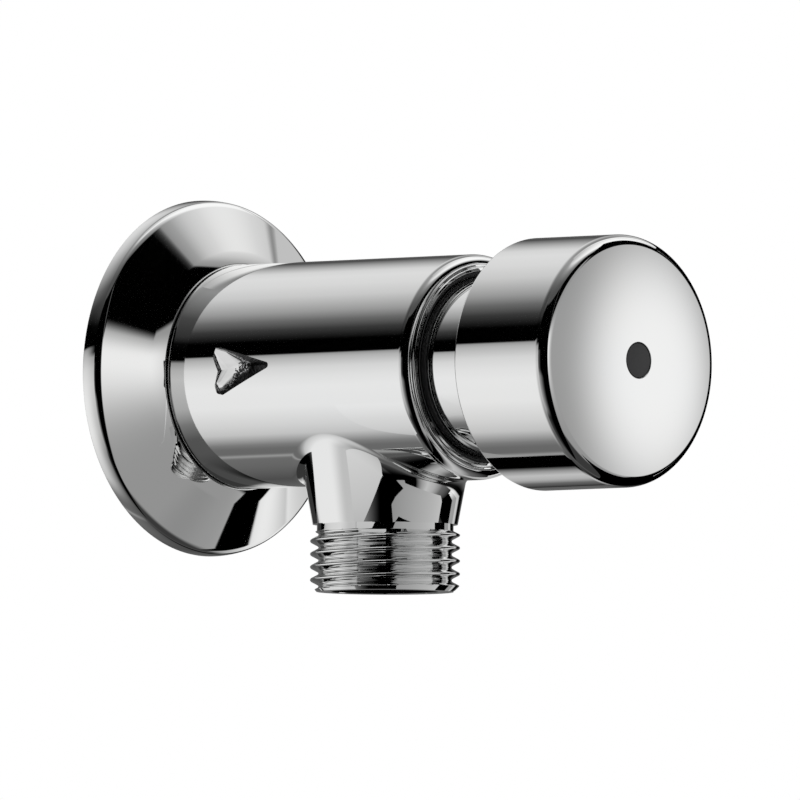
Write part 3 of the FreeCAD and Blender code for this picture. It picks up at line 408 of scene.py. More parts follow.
class Finishes:
    """Every finish of the valve, one material for each slot."""

    def __init__(self) -> None:
        """Make the materials."""
        recipes = {
            Slot.CHROME: PolishedChrome(),
            Slot.BRASS: TurnedMetal("turned brass", (0.80, 0.58, 0.26), (0.60, 0.38, 0.15), 0.16),
            Slot.STAINLESS: TurnedMetal("stainless steel", (0.62, 0.61, 0.59), (0.50, 0.49, 0.47), 0.20),
            Slot.RUBBER: Moulded("black rubber", (0.020, 0.020, 0.021), (0.034, 0.034, 0.035), 0.62),
            Slot.FIBRE: Moulded("red fibre", (0.34, 0.09, 0.055), (0.25, 0.07, 0.045), 0.78, 0.25, 0.03),
            Slot.WHITE_RESIN: Moulded("white acetal", (0.80, 0.79, 0.75), (0.72, 0.71, 0.67), 0.38),
            Slot.GREY_RESIN: Moulded("glass-filled nylon", (0.28, 0.29, 0.30), (0.22, 0.23, 0.24), 0.52,
                                     0.5, 0.02),
            Slot.BLACK_RESIN: Moulded("black plug", (0.012, 0.012, 0.013), (0.020, 0.020, 0.021), 0.42,
                                      0.3, 0.006),
        }
        self.materials = {slot: recipe.material() for slot, recipe in recipes.items()}
        self.cast = CastChrome().material()

    def __getitem__(self, slot: Slot) -> bpy.types.Material:
        """The material of a slot."""
        return self.materials[slot]


# Surfaces


class Skin:
    """A closed mesh gathered from surface patches, each with exact normals.

    Points that fall into one cell of the weld size, in metres, become one. The cells are moved by a share of
    their size, so that no round size lies on their bounds.
    """

    WELD = 1e-6
    OFF_ROUND = 0.2371

    def __init__(self, name: str) -> None:
        """Start an empty skin.

        Args:
            name: the piece's name.
        """
        self.name = name
        self.points: list[Grid] = []
        self.normals: list[Grid] = []
        self.marks: list[Grid] = []

    def add(self, points: Grid, normals: Grid, mark: Grid | None = None) -> None:
        """Add one patch.

        Args:
            points: rows by columns by 3, in millimetres.
            normals: the outward unit normal at each point.
            mark: a number for each point, kept as an attribute, or None.
        """
        self.points.append(points)
        self.normals.append(np.broadcast_to(normals, points.shape))
        self.marks.append(np.zeros(points.shape[:2]) if mark is None else mark)

    def _faces(self, points: Grid, normals: Grid, first: int) -> Grid:
        """The quads of one patch, wound so that they face along its normals.

        Args:
            points: the patch's points.
            normals: its normals.
            first: the number of its first point in the whole skin.
        Returns:
            Four point numbers for each quad.
        """
        rows, columns = points.shape[:2]
        index = first + np.arange(rows * columns).reshape(rows, columns)
        quads = np.stack([index[:-1, :-1], index[1:, :-1], index[1:, 1:], index[:-1, 1:]], -1).reshape(-1, 4)
        corners = points.reshape(-1, 3)[quads - first]
        facing = np.cross(corners[:, 2] - corners[:, 0], corners[:, 3] - corners[:, 1])
        wanted = normals.reshape(-1, 3)[quads - first].mean(axis=1)
        return quads if np.sum(facing * wanted) > 0 else quads[:, ::-1]

    def build(self, mark_name: str = "") -> bpy.types.Object:
        """Join the patches, merge their seams and poles, and set the normals.

        Args:
            mark_name: the attribute that keeps the marks, or nothing.
        Returns:
            The finished object, at the origin.
        """
        firsts = np.cumsum([0] + [p.shape[0] * p.shape[1] for p in self.points])
        faces = np.concatenate([self._faces(p, n, first)
                                for p, n, first in zip(self.points, self.normals, firsts)])
        points = np.concatenate([p.reshape(-1, 3) for p in self.points]) * MM
        normals = np.concatenate([n.reshape(-1, 3) for n in self.normals])
        marks = np.concatenate([m.reshape(-1) for m in self.marks])
        keys = np.round(points / self.WELD + self.OFF_ROUND).astype(np.int64)
        _, chosen, merged = np.unique(keys, axis=0, return_index=True, return_inverse=True)
        merged = merged.reshape(-1)
        corners = merged[faces]
        kept = corners != np.roll(corners, -1, axis=1)
        whole = kept.sum(axis=1) > 2
        faces, corners, kept = faces[whole], corners[whole], kept[whole]
        counts = kept.sum(axis=1)

        mesh = bpy.data.meshes.new(self.name)
        mesh.vertices.add(len(chosen))
        mesh.vertices.foreach_set("co", points[chosen].ravel())
        mesh.loops.add(int(counts.sum()))
        mesh.loops.foreach_set("vertex_index", corners[kept].astype(np.int32))
        mesh.polygons.add(len(counts))
        starts = np.concatenate([[0], np.cumsum(counts)[:-1]])
        mesh.polygons.foreach_set("loop_start", starts.astype(np.int32))
        mesh.polygons.foreach_set("use_smooth", np.ones(len(counts), dtype=bool))
        mesh.update(calc_edges=True)
        mesh.normals_split_custom_set(normals[faces[kept]].tolist())
        if mark_name:
            kept_marks = mesh.attributes.new(mark_name, "FLOAT", "POINT")
            kept_marks.data.foreach_set("value", marks[chosen].astype(np.float32))
        made = bpy.data.objects.new(self.name, mesh)
        bpy.context.scene.collection.objects.link(made)
        return made


class Outline:
    """Runs of (radius, out) points with their normals, drawn with the solid on the left."""

    def __init__(self, radius: float, out: float) -> None:
        """Put the pen down.

        Args:
            radius: the first point's distance from the axis.
            out: its distance from the wall.
        """
        self.pen = np.array([radius, out], float)
        self.points: list[Grid] = []
        self.normals: list[Grid] = []

    def line(self, radius: float, out: float) -> "Outline":
        """Draw straight to a point; the normal is on the right of the way.

        Args:
            radius: the point's distance from the axis.
            out: its distance from the wall.
        Returns:
            The outline.
        """
        end = np.array([radius, out], float)
        way = end - self.pen
        normal = np.array([way[1], -way[0]]) / math.hypot(*way)
        self.points.append(np.array([self.pen, end]))
        self.normals.append(np.array([normal, normal]))
        self.pen = end
        return self

    def arc(self, centre: tuple[float, float], radius: float, start: float, end: float,
            rows: int) -> "Outline":
        """Draw a circular arc, centre plus radius times (cos, sin).

        Args:
            centre: its (radius, out).
            radius: of the arc.
            start: first angle in degrees.
            end: last angle; greater than start on a convex arc.
            rows: points along it.
        Returns:
            The outline.
        """
        angles = np.radians(np.linspace(start, end, rows))
        spokes = np.stack([np.cos(angles), np.sin(angles)], -1)
        self.points.append(np.array(centre) + radius * spokes)
        self.normals.append(spokes if end > start else -spokes)
        self.pen = self.points[-1][-1]
        return self

    @classmethod
    def through(cls, corners: Sequence[tuple[float, float, float]], rows: int = 6) -> "Outline":
        """A closed outline of straight runs whose corners are rounded.

        Args:
            corners: (radius, out, rounding) in order.
            rows: points on each rounding.
        Returns:
            The outline.
        """
        places = np.array([corner[:2] for corner in corners], float)
        rounds = np.array([corner[2] for corner in corners], float)
        ahead = np.roll(places, -1, axis=0) - places
        ahead /= np.linalg.norm(ahead, axis=1, keepdims=True)
        before = np.roll(ahead, 1, axis=0)
        turns = before[:, 0] * ahead[:, 1] - before[:, 1] * ahead[:, 0]
        swing = np.arctan2(turns, np.sum(before * ahead, axis=1))
        reach = (rounds * np.tan(np.abs(swing) / 2))[:, None]
        entries, exits = places - before * reach, places + ahead * reach
        made = cls(*exits[-1])
        for entry, way, turn, bend, rounding in zip(entries, before, turns, swing, rounds):
            made.line(*entry)
            if rounding > 0:
                side = np.array([-way[1], way[0]]) * math.copysign(rounding, turn)
                first = math.degrees(math.atan2(-side[1], -side[0]))
                made.arc(tuple(entry + side), rounding, first, first + math.degrees(bend), rows)
        return made

    def turn(self, skin: Skin, angles: Grid) -> None:
        """Turn the outline about the valve's axis: (r cos a, -out, r sin a) for each angle a.

        Args:
            skin: what the surfaces are added to.
            angles: in radians, the last a full turn past the first.
        """
        cos, sin = np.cos(angles), np.sin(angles)
        cos[-1], sin[-1] = cos[0], sin[0]
        for points, normals in zip(self.points, self.normals):
            spun = [np.stack([pair[:, :1] * cos, -pair[:, 1:] + 0 * cos, pair[:, :1] * sin], -1)
                    for pair in (points, normals)]
            skin.add(*spun)


def arc_centre(start: tuple[float, float], end: tuple[float, float], radius: float) -> Grid:
    """Centre of the arc through two points that bulges outwards, from its chord and its radius.

    Args:
        start: the arc's first (radius, out).
        end: its last.
        radius: the arc's own radius.
    Returns:
        The centre's (radius, out).
    """
    chord = np.subtract(end, start)
    length = math.hypot(*chord)
    inwards = np.array([chord[1], -chord[0]]) / length
    if inwards[1] > 0:
        inwards = -inwards
    return np.add(start, end) / 2 + inwards * math.sqrt(radius ** 2 - (length / 2) ** 2)


def round_onto(side: float, centre: Sequence[float], radius: float, rounding: float) -> tuple[float, float]:
    """Where a rounding touches both a straight side and an arc.

    Args:
        side: the side's radius.
        centre: the arc's centre.
        radius: the arc's radius.
        rounding: the rounding's own radius.
    Returns:
        The out of its centre, and the angle in degrees at which it meets the arc.
    """
    across = side - rounding - centre[0]
    along = math.sqrt((radius - rounding) ** 2 - across ** 2)
    return centre[1] + along, math.degrees(math.atan2(along, across))


@dataclass
class Maker:
    """Places finished skins in the scene."""

    finishes: Finishes

    def place(self, skin: Skin, slot: Slot, body: Body, *replaced: str,
              cast: bool = False) -> bpy.types.Object:
        """Build a skin, dress it and let it ride.

        Args:
            skin: the gathered surfaces.
            slot: its finish.
            body: what it moves with.
            replaced: the frame's nodes that it stands for.
            cast: whether it has the cast finish and its marks.
        Returns:
            The finished object.
        """
        made = skin.build("cast" if cast else "")
        made.data.materials.append(self.finishes.cast if cast else self.finishes[slot])
        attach(made, body.value)
        if replaced:
            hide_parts(*replaced)
        log.info("%s: %d faces on %s", made.name, len(made.data.polygons), body.value)
        return made

    def turned(self, name: str, outline: Outline, slot: Slot, body: Body, *replaced: str,
               segments: int = 360) -> bpy.types.Object:
        """Turn one outline into a finished piece.

        Args:
            name: the piece's name.
            outline: its closed outline.
            slot: its finish.
            body: what it moves with.
            replaced: the frame's nodes that it stands for.
            segments: steps round the axis.
        Returns:
            The finished object.
        """
        skin = Skin(name)
        outline.turn(skin, np.linspace(0, 2 * math.pi, segments + 1))
        return self.place(skin, slot, body, *replaced)


# Sub-assemblies


@dataclass
class PipeThread:
    """G 1/2 thread: 55 degree flanks, crests and roots rounded to 0.137 of the pitch, right-handed."""

    major: float = 10.478
    pitch: float = 1.814
    sharp: float = 0.960491
    rounding: float = 0.137329
    half_angle: float = 27.5

    def radius(self, along: Grid, angle: Grid) -> Grid:
        """Radius at a place on the helix.

        The distance from the nearest crest is the fractional part of along / pitch - angle / turn. Near the
        crest and near the root the height is that of a circle, and between them it falls on a straight flank.

        Args:
            along: millimetres along the axis.
            angle: right-handed angle about that axis, in radians.
        Returns:
            The radius, in millimetres.
        """
        pitch = self.pitch
        phase = along / pitch - angle / (2 * math.pi)
        away = np.abs(phase - np.round(phase)) * pitch
        full = self.sharp * pitch
        rounding = self.rounding * pitch
        touch = rounding * math.cos(math.radians(self.half_angle))
        crest = full * 5 / 6 - rounding + np.sqrt(np.maximum(rounding ** 2 - away ** 2, 0))
        from_root = pitch / 2 - away
        root = full / 6 + rounding - np.sqrt(np.maximum(rounding ** 2 - from_root ** 2, 0))
        flank = full * (1 - 2 * away / pitch)
        height = np.where(away < touch, crest, np.where(from_root < touch, root, flank))
        return self.major - (full * 5 / 6 - height)

    def surface(self, along: Grid, angle: Grid, limit: Grid, axis: Grid, spokes: Grid) -> tuple[Grid, Grid]:
        """Threaded surface: the smaller of the thread's radius and the chamfers' limit, about an axis.

        Args:
            along: one place for each row.
            angle: one angle for each column.
            limit: the largest radius for each row.
            axis: (3,) direction in which along counts.
            spokes: (columns, 3) unit vectors from the axis at each angle.
        Returns:
            Points and outward normals, from the cross product of the steps along both parameters.
        """
        rows, columns = along[:, None], angle[None, :]

        def place(shift: float, twist: float) -> Grid:
            """The surface with both parameters moved a little.

            Args:
                shift: millimetres along the axis.
                twist: radians about it.
            Returns:
                Rows by columns by 3.
            """
            tilt = np.minimum(self.radius(rows + shift, columns + twist), limit[:, None] + 0 * columns)
            turned = spokes * math.cos(twist) + np.cross(axis, spokes) * math.sin(twist)
            return tilt[..., None] * turned[None] + (rows + shift)[..., None] * axis

        small = 1e-3
        points = place(0.0, 0.0)
        normals = np.cross(place(0.0, small) - place(0.0, -small), place(small, 0.0) - place(-small, 0.0))
        normals /= np.linalg.norm(normals, axis=-1, keepdims=True)
        inwards = np.sum(normals * spokes[None], axis=-1, keepdims=True) < 0
        return points, np.where(inwards, -normals, normals)


@dataclass
class BarrelCasting:
    """Cast barrel with its inlet spigot and its blended outlet branch, threads and bores.

    Bores and outsides are radii; backs, fronts and floors are places along their own axis. The branch stands
    at the outlet's out and ends at its drop. Its neck widens towards the barrel by the flare. The window is
    half the angle that the branch's part of the barrel takes, and rows and columns are steps of the grids.
    """

    radius: float = BARREL_RADIUS
    back: float = BARREL_BACK
    front: float = 53.5
    rear_round: float = 2.0
    lip_round: float = 1.5
    mouth: float = 14.5
    outlet: float = 34.77
    drop: float = 30.9
    neck: float = 10.15
    neck_foot: float = 21.5
    flare: float = 4.0
    blend: float = 3.5
    relief: float = 9.55
    thread_top: float = 22.4
    chamfer: float = 0.9
    inlet_end: float = -13.5
    groove: tuple[float, float] = (1.0, 1.9)
    mouth_floor: float = 52.0
    chamber: float = 14.15
    chamber_floor: float = 41.0
    cartridge_bore: float = 11.0
    cartridge_floor: float = 22.0
    seat_bore: float = 10.25
    seat_floor: float = 9.5
    inlet_bore: float = 6.75
    strainer_bore: float = 7.45
    strainer_floor: float = -12.5
    outlet_bore: float = 7.5
    outlet_floor: float = 17.5
    bore_chamfer: float = 0.1
    port: float = 5.5
    run_out: float = 2.06
    crest_height: float = -25.65
    crest_angle: float = 133.4
    window: float = 60.0
    columns: int = 96
    rows: int = 72
    fan_rows: int = 20
    blend_rows: int = 16
    cone_rows: int = 8
    outlet_rows: int = 84
    inlet_rows: int = 120
    thread: PipeThread = field(default_factory=PipeThread)

    @property
    def straight(self) -> tuple[float, float]:
        """The barrel's straight part, from its rear rounding to its lip."""
        return self.back + self.rear_round, self.front - self.lip_round

    def around(self) -> tuple[Grid, Grid]:
        """Angles about the valve's axis, in two runs.

        Returns:
            Those under the branch and those of the rest of the turn, in radians.
        """
        low, high = -90 - self.window, -90 + self.window
        return (np.radians(np.linspace(low, high, self.columns + 1)),
                np.radians(np.linspace(high, low + 360, 2 * self.columns + 1)))

    def whole_turn(self) -> Grid:
        """Both parts of the turn in one."""
        under, over = self.around()
        return np.concatenate([under, over[1:]])

    def frame_loop(self, back: float, front: float) -> tuple[Grid, Grid]:
        """The rectangle on a cylinder round the branch, as one closed loop.

        Args:
            back: the rectangle's out nearest the wall.
            front: its other end.
        Returns:
            The angle about the valve's axis and the out of each point.
        """
        under, _ = self.around()
        length = np.linspace(back, front, self.rows + 1)
        angle = np.concatenate([under, np.full(self.rows, under[-1]), under[::-1][1:],
                                np.full(self.rows, under[0])])
        out = np.concatenate([np.full(len(under), back), length[1:], np.full(self.columns, front),
                              length[::-1][1:]])
        return angle, out

    def turned_part(self, skin: Skin) -> None:
        """Everything of the outside and the bores that is turned about the valve's axis.

        Args:
            skin: what the surfaces are added to.
        """
        whole = self.whole_turn()
        (straight_back, straight_front), major = self.straight, self.thread.major
        rear, lip = self.radius - self.rear_round, self.radius - self.lip_round
        lip_end = math.degrees(math.acos((self.mouth - lip) / self.lip_round))
        groove_back, groove_front = self.groove
        spigot = Outline(self.relief, groove_back)
        spigot.line(self.relief, groove_front).line(major, groove_front).line(major, self.back)
        spigot.line(rear, self.back).arc((rear, straight_back), self.rear_round, -90, 0, 16)
        mouth = Outline(self.radius, straight_front)
        mouth.arc((lip, straight_front), self.lip_round, 0, lip_end, 18).line(self.mouth, self.mouth_floor)
        mouth.line(self.chamber, self.mouth_floor).line(self.chamber, self.chamber_floor)
        mouth.line(self.cartridge_bore, self.chamber_floor)
        inlet = Outline(self.cartridge_bore, self.cartridge_floor)
        inlet.line(self.seat_bore, self.cartridge_floor).line(self.seat_bore, self.seat_floor)
        inlet.line(self.inlet_bore, self.seat_floor).line(self.inlet_bore, self.strainer_floor)
        inlet.line(self.strainer_bore, self.strainer_floor).line(self.strainer_bore, self.inlet_end)
        inlet.line(major - self.chamfer, self.inlet_end)
        for outline in (spigot, mouth, inlet):
            outline.turn(skin, whole)

    def cylinder_with_hole(self, skin: Skin, radius: float, ends: tuple[float, float],
                           hole: tuple[Grid, Grid], facing: float) -> None:
        """A cylinder about the valve's axis with a hole in its underside.

        The part under the branch runs from the hole's rim to the rectangle round it, by a straight line in
        (angle, out) for each point of the loop; the rest of the turn is a plain grid.

        Args:
            skin: what the surfaces are added to.
            radius: of the cylinder.
            ends: its outs, first the one nearest the wall.
            hole: the angle and the out of the hole's rim, for each point of the loop.
            facing: +1 on an outside, -1 in a bore.
        """
        angle, out = self.frame_loop(*ends)
        share = np.linspace(0, 1, self.fan_rows)[:, None]
        angles = hole[0] * (1 - share) + angle * share
        outs = hole[1] * (1 - share) + out * share
        spokes = np.stack([np.cos(angles), 0 * angles, np.sin(angles)], -1)
        skin.add(spokes * radius - outs[..., None] * np.array([0.0, 1.0, 0.0]), spokes * facing)
        _, over = self.around()
        length = np.linspace(*ends, self.rows + 1)[:, None]
        spokes = np.stack([np.cos(over), 0 * over, np.sin(over)], -1)[None] + 0 * length[..., None]
        skin.add(spokes * radius - length[..., None] * np.array([0.0, 1.0, 0.0]), spokes * facing)

    def branch(self, skin: Skin) -> tuple[Grid, Grid]:
        """The outlet branch: a rolling-ball blend from the barrel, and a cone down to its thread.

        The ball's centre is a blend radius outside both the barrel and the cone. For each angle round the
        outlet it solves (r cos a)^2 + z^2 = (R + b)^2 with r growing with z as the cone does. The blend is
        the ball's arc between its two points of touch.

        Args:
            skin: what the surfaces are added to.
        Returns:
            The angle and the out of the hole's rim in the barrel.
        """
        loop_angle, loop_out = self.frame_loop(*self.straight)
        turn = np.arctan2(loop_out - self.outlet, self.radius * (loop_angle + math.pi / 2))
        cos, sin = np.cos(turn), np.sin(turn)
        slope = self.flare / self.neck_foot
        tilt = math.atan(slope)
        reach = self.neck + self.flare + self.blend / math.cos(tilt)
        ball = self.radius + self.blend
        a = 1 + (slope * cos) ** 2
        b = reach * slope * cos ** 2
        c = (reach * cos) ** 2 - ball ** 2
        height = (-b - np.sqrt(b ** 2 - a * c)) / a
        off = reach + slope * height
        centre = np.stack([off * cos, -self.outlet - off * sin, height], -1)
        rim = centre * np.array([1.0, 0.0, 1.0]) * (self.radius / ball) + centre * np.array([0.0, 1.0, 0.0])
        cone_normal = np.stack([math.cos(tilt) * cos, -math.cos(tilt) * sin, 0 * cos - math.sin(tilt)], -1)
        first, last = (rim - centre) / self.blend, -cone_normal
        swing = np.arccos(np.sum(first * last, -1))[None, :, None]
        share = np.linspace(0, 1, self.blend_rows)[:, None, None]
        spokes = (np.sin((1 - share) * swing) * first + np.sin(share * swing) * last) / np.sin(swing)
        skin.add(centre + self.blend * spokes, -spokes)

        touch = centre[:, 2] - self.blend * cone_normal[:, 2]
        fall = touch + (-self.neck_foot - touch) * np.linspace(0, 1, self.cone_rows)[:, None]
        width = self.neck + self.flare + slope * fall
        skin.add(np.stack([width * cos, -self.outlet - width * sin, fall], -1), cone_normal)
        self.outlet_end(skin, turn)
        return np.arctan2(rim[:, 2], rim[:, 0]), -rim[:, 1]

    def thread_limit(self, from_relief: Grid, from_end: Grid) -> Grid:
        """The largest radius of a thread, which runs out into its relief and is chamfered at its end.

        Args:
            from_relief: distance from the relief for each row.
            from_end: distance from the end face.
        Returns:
            The radius for each row.
        """
        grown = self.relief + from_relief * self.run_out
        cut = self.thread.major - self.chamfer + from_end
        return np.minimum(np.minimum(grown, cut), self.thread.major)

    def outlet_end(self, skin: Skin, turn: Grid) -> None:
        """The relief, the thread, the end face and the stepped bore of the outlet.

        Args:
            skin: what the surfaces are added to.
            turn: the angles round the outlet's axis at which the branch is drawn.
        """
        cos, sin = np.cos(turn), np.sin(turn)
        spokes = np.stack([cos, -sin, 0 * cos], -1)
        base = np.array([0.0, -self.outlet, 0.0])
        down = np.array([0.0, 0.0, -1.0])

        def ring(radius: float, height: float) -> Grid:
            """One ring round the outlet's axis."""
            return base + spokes * radius - down * height

        def band(first: tuple[float, float], last: tuple[float, float], normal: Grid) -> None:
            """A surface between two rings of (radius, height)."""
            skin.add(np.stack([ring(*first), ring(*last)]), normal)

        start, end = (self.relief, -self.thread_top), (self.thread.major - self.chamfer, -self.drop)
        band((self.neck, -self.neck_foot), (self.relief, -self.neck_foot), down)
        band((self.relief, -self.neck_foot), start, spokes)
        heights = -np.linspace(self.thread_top, self.drop, self.outlet_rows)
        twist = np.arctan2(spokes[:, 1], spokes[:, 0]) - math.radians(self.crest_angle)
        limit = self.thread_limit(-self.thread_top - heights, heights + self.drop)
        points, normals = self.thread.surface(heights - self.crest_height, twist, limit, -down, spokes)
        points = points + base - down * self.crest_height
        points[0], points[-1] = ring(*start), ring(*end)
        skin.add(points, normals)
        bore, floor, brink = self.outlet_bore, -self.outlet_floor, -self.drop + self.bore_chamfer
        band(end, (bore + self.bore_chamfer, -self.drop), down)
        band((bore + self.bore_chamfer, -self.drop), (bore, brink), (down - spokes) * math.sqrt(0.5))
        band((bore, brink), (bore, floor), -spokes)
        band((bore, floor), (self.port, floor), down)
        port = ring(self.port, 0.0)
        port[:, 2] = -np.sqrt(self.cartridge_bore ** 2 - port[:, 0] ** 2)
        skin.add(np.stack([ring(self.port, floor), port]), -spokes)
        self.cylinder_with_hole(skin, self.cartridge_bore, (self.cartridge_floor, self.chamber_floor),
                                (np.arctan2(port[:, 2], port[:, 0]), -port[:, 1]), -1.0)

    def inlet_thread(self, skin: Skin) -> None:
        """The thread of the inlet spigot, behind the wall plane.

        Args:
            skin: what the surfaces are added to.
        """
        whole, inwards = self.whole_turn(), np.array([0.0, 1.0, 0.0])
        end, start = -self.inlet_end, -self.groove[0]
        along = np.linspace(end, start, self.inlet_rows)
        spokes = np.stack([np.cos(whole), 0 * whole, np.sin(whole)], -1)
        spokes[-1] = spokes[0]
        limit = self.thread_limit(along - start, end - along)
        points, normals = self.thread.surface(along, np.arctan2(spokes[:, 0], spokes[:, 2]), limit, inwards,
                                              spokes)
        points[0] = spokes * (self.thread.major - self.chamfer) + end * inwards
        points[-1] = spokes * self.relief + start * inwards
        skin.add(points, normals)

    def make(self, maker: Maker) -> None:
        """Build the casting.

        Args:
            maker: places the finished piece.
        """
        skin = Skin("barrel_casting")
        self.turned_part(skin)
        rim = self.branch(skin)
        self.cylinder_with_hole(skin, self.radius, self.straight, rim, 1.0)
        self.inlet_thread(skin)
        maker.place(skin, Slot.CHROME, Body.VALVE, "valve_body")


@dataclass
class FlowArrow:
    """Raised flow arrow on the barrel's side: cast flanks, dark with painted shade, that rise from a wide
    foot to a small polished top.

    Both outlines are polygons about the arrow's own middle line, (along, across), each grown by a rounding.
    The middle line starts at an out, stands aside from the barrel's and is tilted by degrees. The patch is
    the grid's reach along the valve and up. Its margin is sunk into the barrel, its back lies deeper still.
    """

    radius: float = BARREL_RADIUS
    start: float = 18.5
    aside: float = -0.04
    tilt: float = 3.9
    proud: float = 0.95
    foot_round: float = 0.45
    foot: tuple[tuple[float, float], ...] = (
        (8.08, 0.0), (-0.76, 2.87), (-1.44, 2.69), (-1.55, 1.99), (-0.67, 0.0), (-1.55, -1.99),
        (-1.44, -2.69), (-0.76, -2.87))
    top_round: float = 0.5
    top: tuple[tuple[float, float], ...] = (
        (5.36, 0.05), (0.16, 2.68), (-0.29, 2.77), (-0.54, 2.55), (0.81, 0.0), (-0.36, -1.7), (-0.14, -1.98),
        (0.36, -1.95), (3.06, -0.25))
    least_flank: float = 0.05
    soft: float = 0.28
    tip_start: float = 2.3
    wear_length: float = 4.2
    tip_slant: float = 0.25
    tip_skin_and_shade: float = 0.55
    patch_out: tuple[float, float] = (15.9, 27.8)
    patch_up: tuple[float, float] = (-4.4, 4.6)
    rows: int = 230
    columns: int = 190
    sunk: float = 0.1
    depth: float = 0.6

    @staticmethod
    def within(places: Grid, corners: Sequence[tuple[float, float]], rounding: float) -> Grid:
        """Distance inside a rounded polygon, negative outside it.

        The distance to each side is that to its nearest point. A place is inside where a line from it crosses
        the sides an odd number of times. The rounding is then added, which moves the outline outwards.

        Args:
            places: rows by columns by 2.
            corners: the polygon's corners in order.
            rounding: how far the outline is moved outwards.
        Returns:
            Rows by columns, in millimetres.
        """
        first = np.array(corners, float)
        last = np.roll(first, -1, axis=0)
        side = last - first
        off = places[..., None, :] - first
        share = np.clip(np.sum(off * side, -1) / np.sum(side * side, -1), 0, 1)
        gap = np.linalg.norm(off - share[..., None] * side, axis=-1).min(axis=-1)
        up = places[..., None, 1]
        spans = (first[:, 1] > up) != (last[:, 1] > up)
        rise = np.where(side[:, 1] == 0, 1.0, side[:, 1])
        crossing = spans & (off[..., 0] < side[:, 0] * off[..., 1] / rise)
        inside = crossing.sum(axis=-1) % 2 == 1
        return np.where(inside, gap, -gap) + rounding

    def make(self, maker: Maker) -> None:
        """Build the arrow: it rises from foot to top in proportion to the distances from both outlines.

        The attribute for the cast look, with its painted near-black shade, also grows from the notch to the
        tip.

        Args:
            maker: places the finished piece.
        """
        out, up = np.meshgrid(np.linspace(*self.patch_out, self.rows),
                              np.linspace(*self.patch_up, self.columns), indexing="ij")
        turn = math.radians(self.tilt)
        ahead, above = out - self.start, up - self.aside
        places = np.stack([ahead * math.cos(turn) + above * math.sin(turn),
                           above * math.cos(turn) - ahead * math.sin(turn)], -1)
        foot = self.within(places, self.foot, self.foot_round)
        top = self.within(places, self.top, self.top_round)
        share = np.clip(foot / np.maximum(foot - top, self.least_flank), -1, 3)
        share = (1 + share - np.sqrt((1 - share) ** 2 + self.soft ** 2)) / 2
        # Share that grows towards the tip: more cast roughness there, and more painted near-black shade.
        tip_skin_and_shade_share = places[..., 0] - self.tip_start - self.tip_slant * places[..., 1]
        tip_skin_and_shade_share = np.clip(tip_skin_and_shade_share / self.wear_length, 0, 1)
        barrel = np.sqrt(self.radius ** 2 - up ** 2)
        reach = np.where(share > 0, barrel + (self.radius + self.proud - barrel) * share,
                         np.maximum(barrel + foot, barrel - self.sunk))
        points = np.stack([-reach, -out, up], -1)
        normals = np.cross(np.gradient(points, axis=0), np.gradient(points, axis=1))
        normals /= np.linalg.norm(normals, axis=-1, keepdims=True)
        normals = np.where(normals[..., :1] > 0, -normals, normals)
        skin = Skin("flow_arrow")
        skin.add(points, normals, np.clip(1 - share + self.tip_skin_and_shade * tip_skin_and_shade_share, 0, 1))
        behind = points * np.array([0.0, 1.0, 1.0])
        behind[..., 0] = self.depth - barrel
        skin.add(behind, np.array([1.0, 0.0, 0.0]))
        rims = [(np.s_[0, :], (0.0, 1.0, 0.0)), (np.s_[-1, :], (0.0, -1.0, 0.0)),
                (np.s_[:, 0], (0.0, 0.0, -1.0)), (np.s_[:, -1], (0.0, 0.0, 1.0))]
        for edge, facing in rims:
            skin.add(np.stack([points[edge], behind[edge]]), np.array(facing))
        maker.place(skin, Slot.CHROME, Body.VALVE, cast=True)


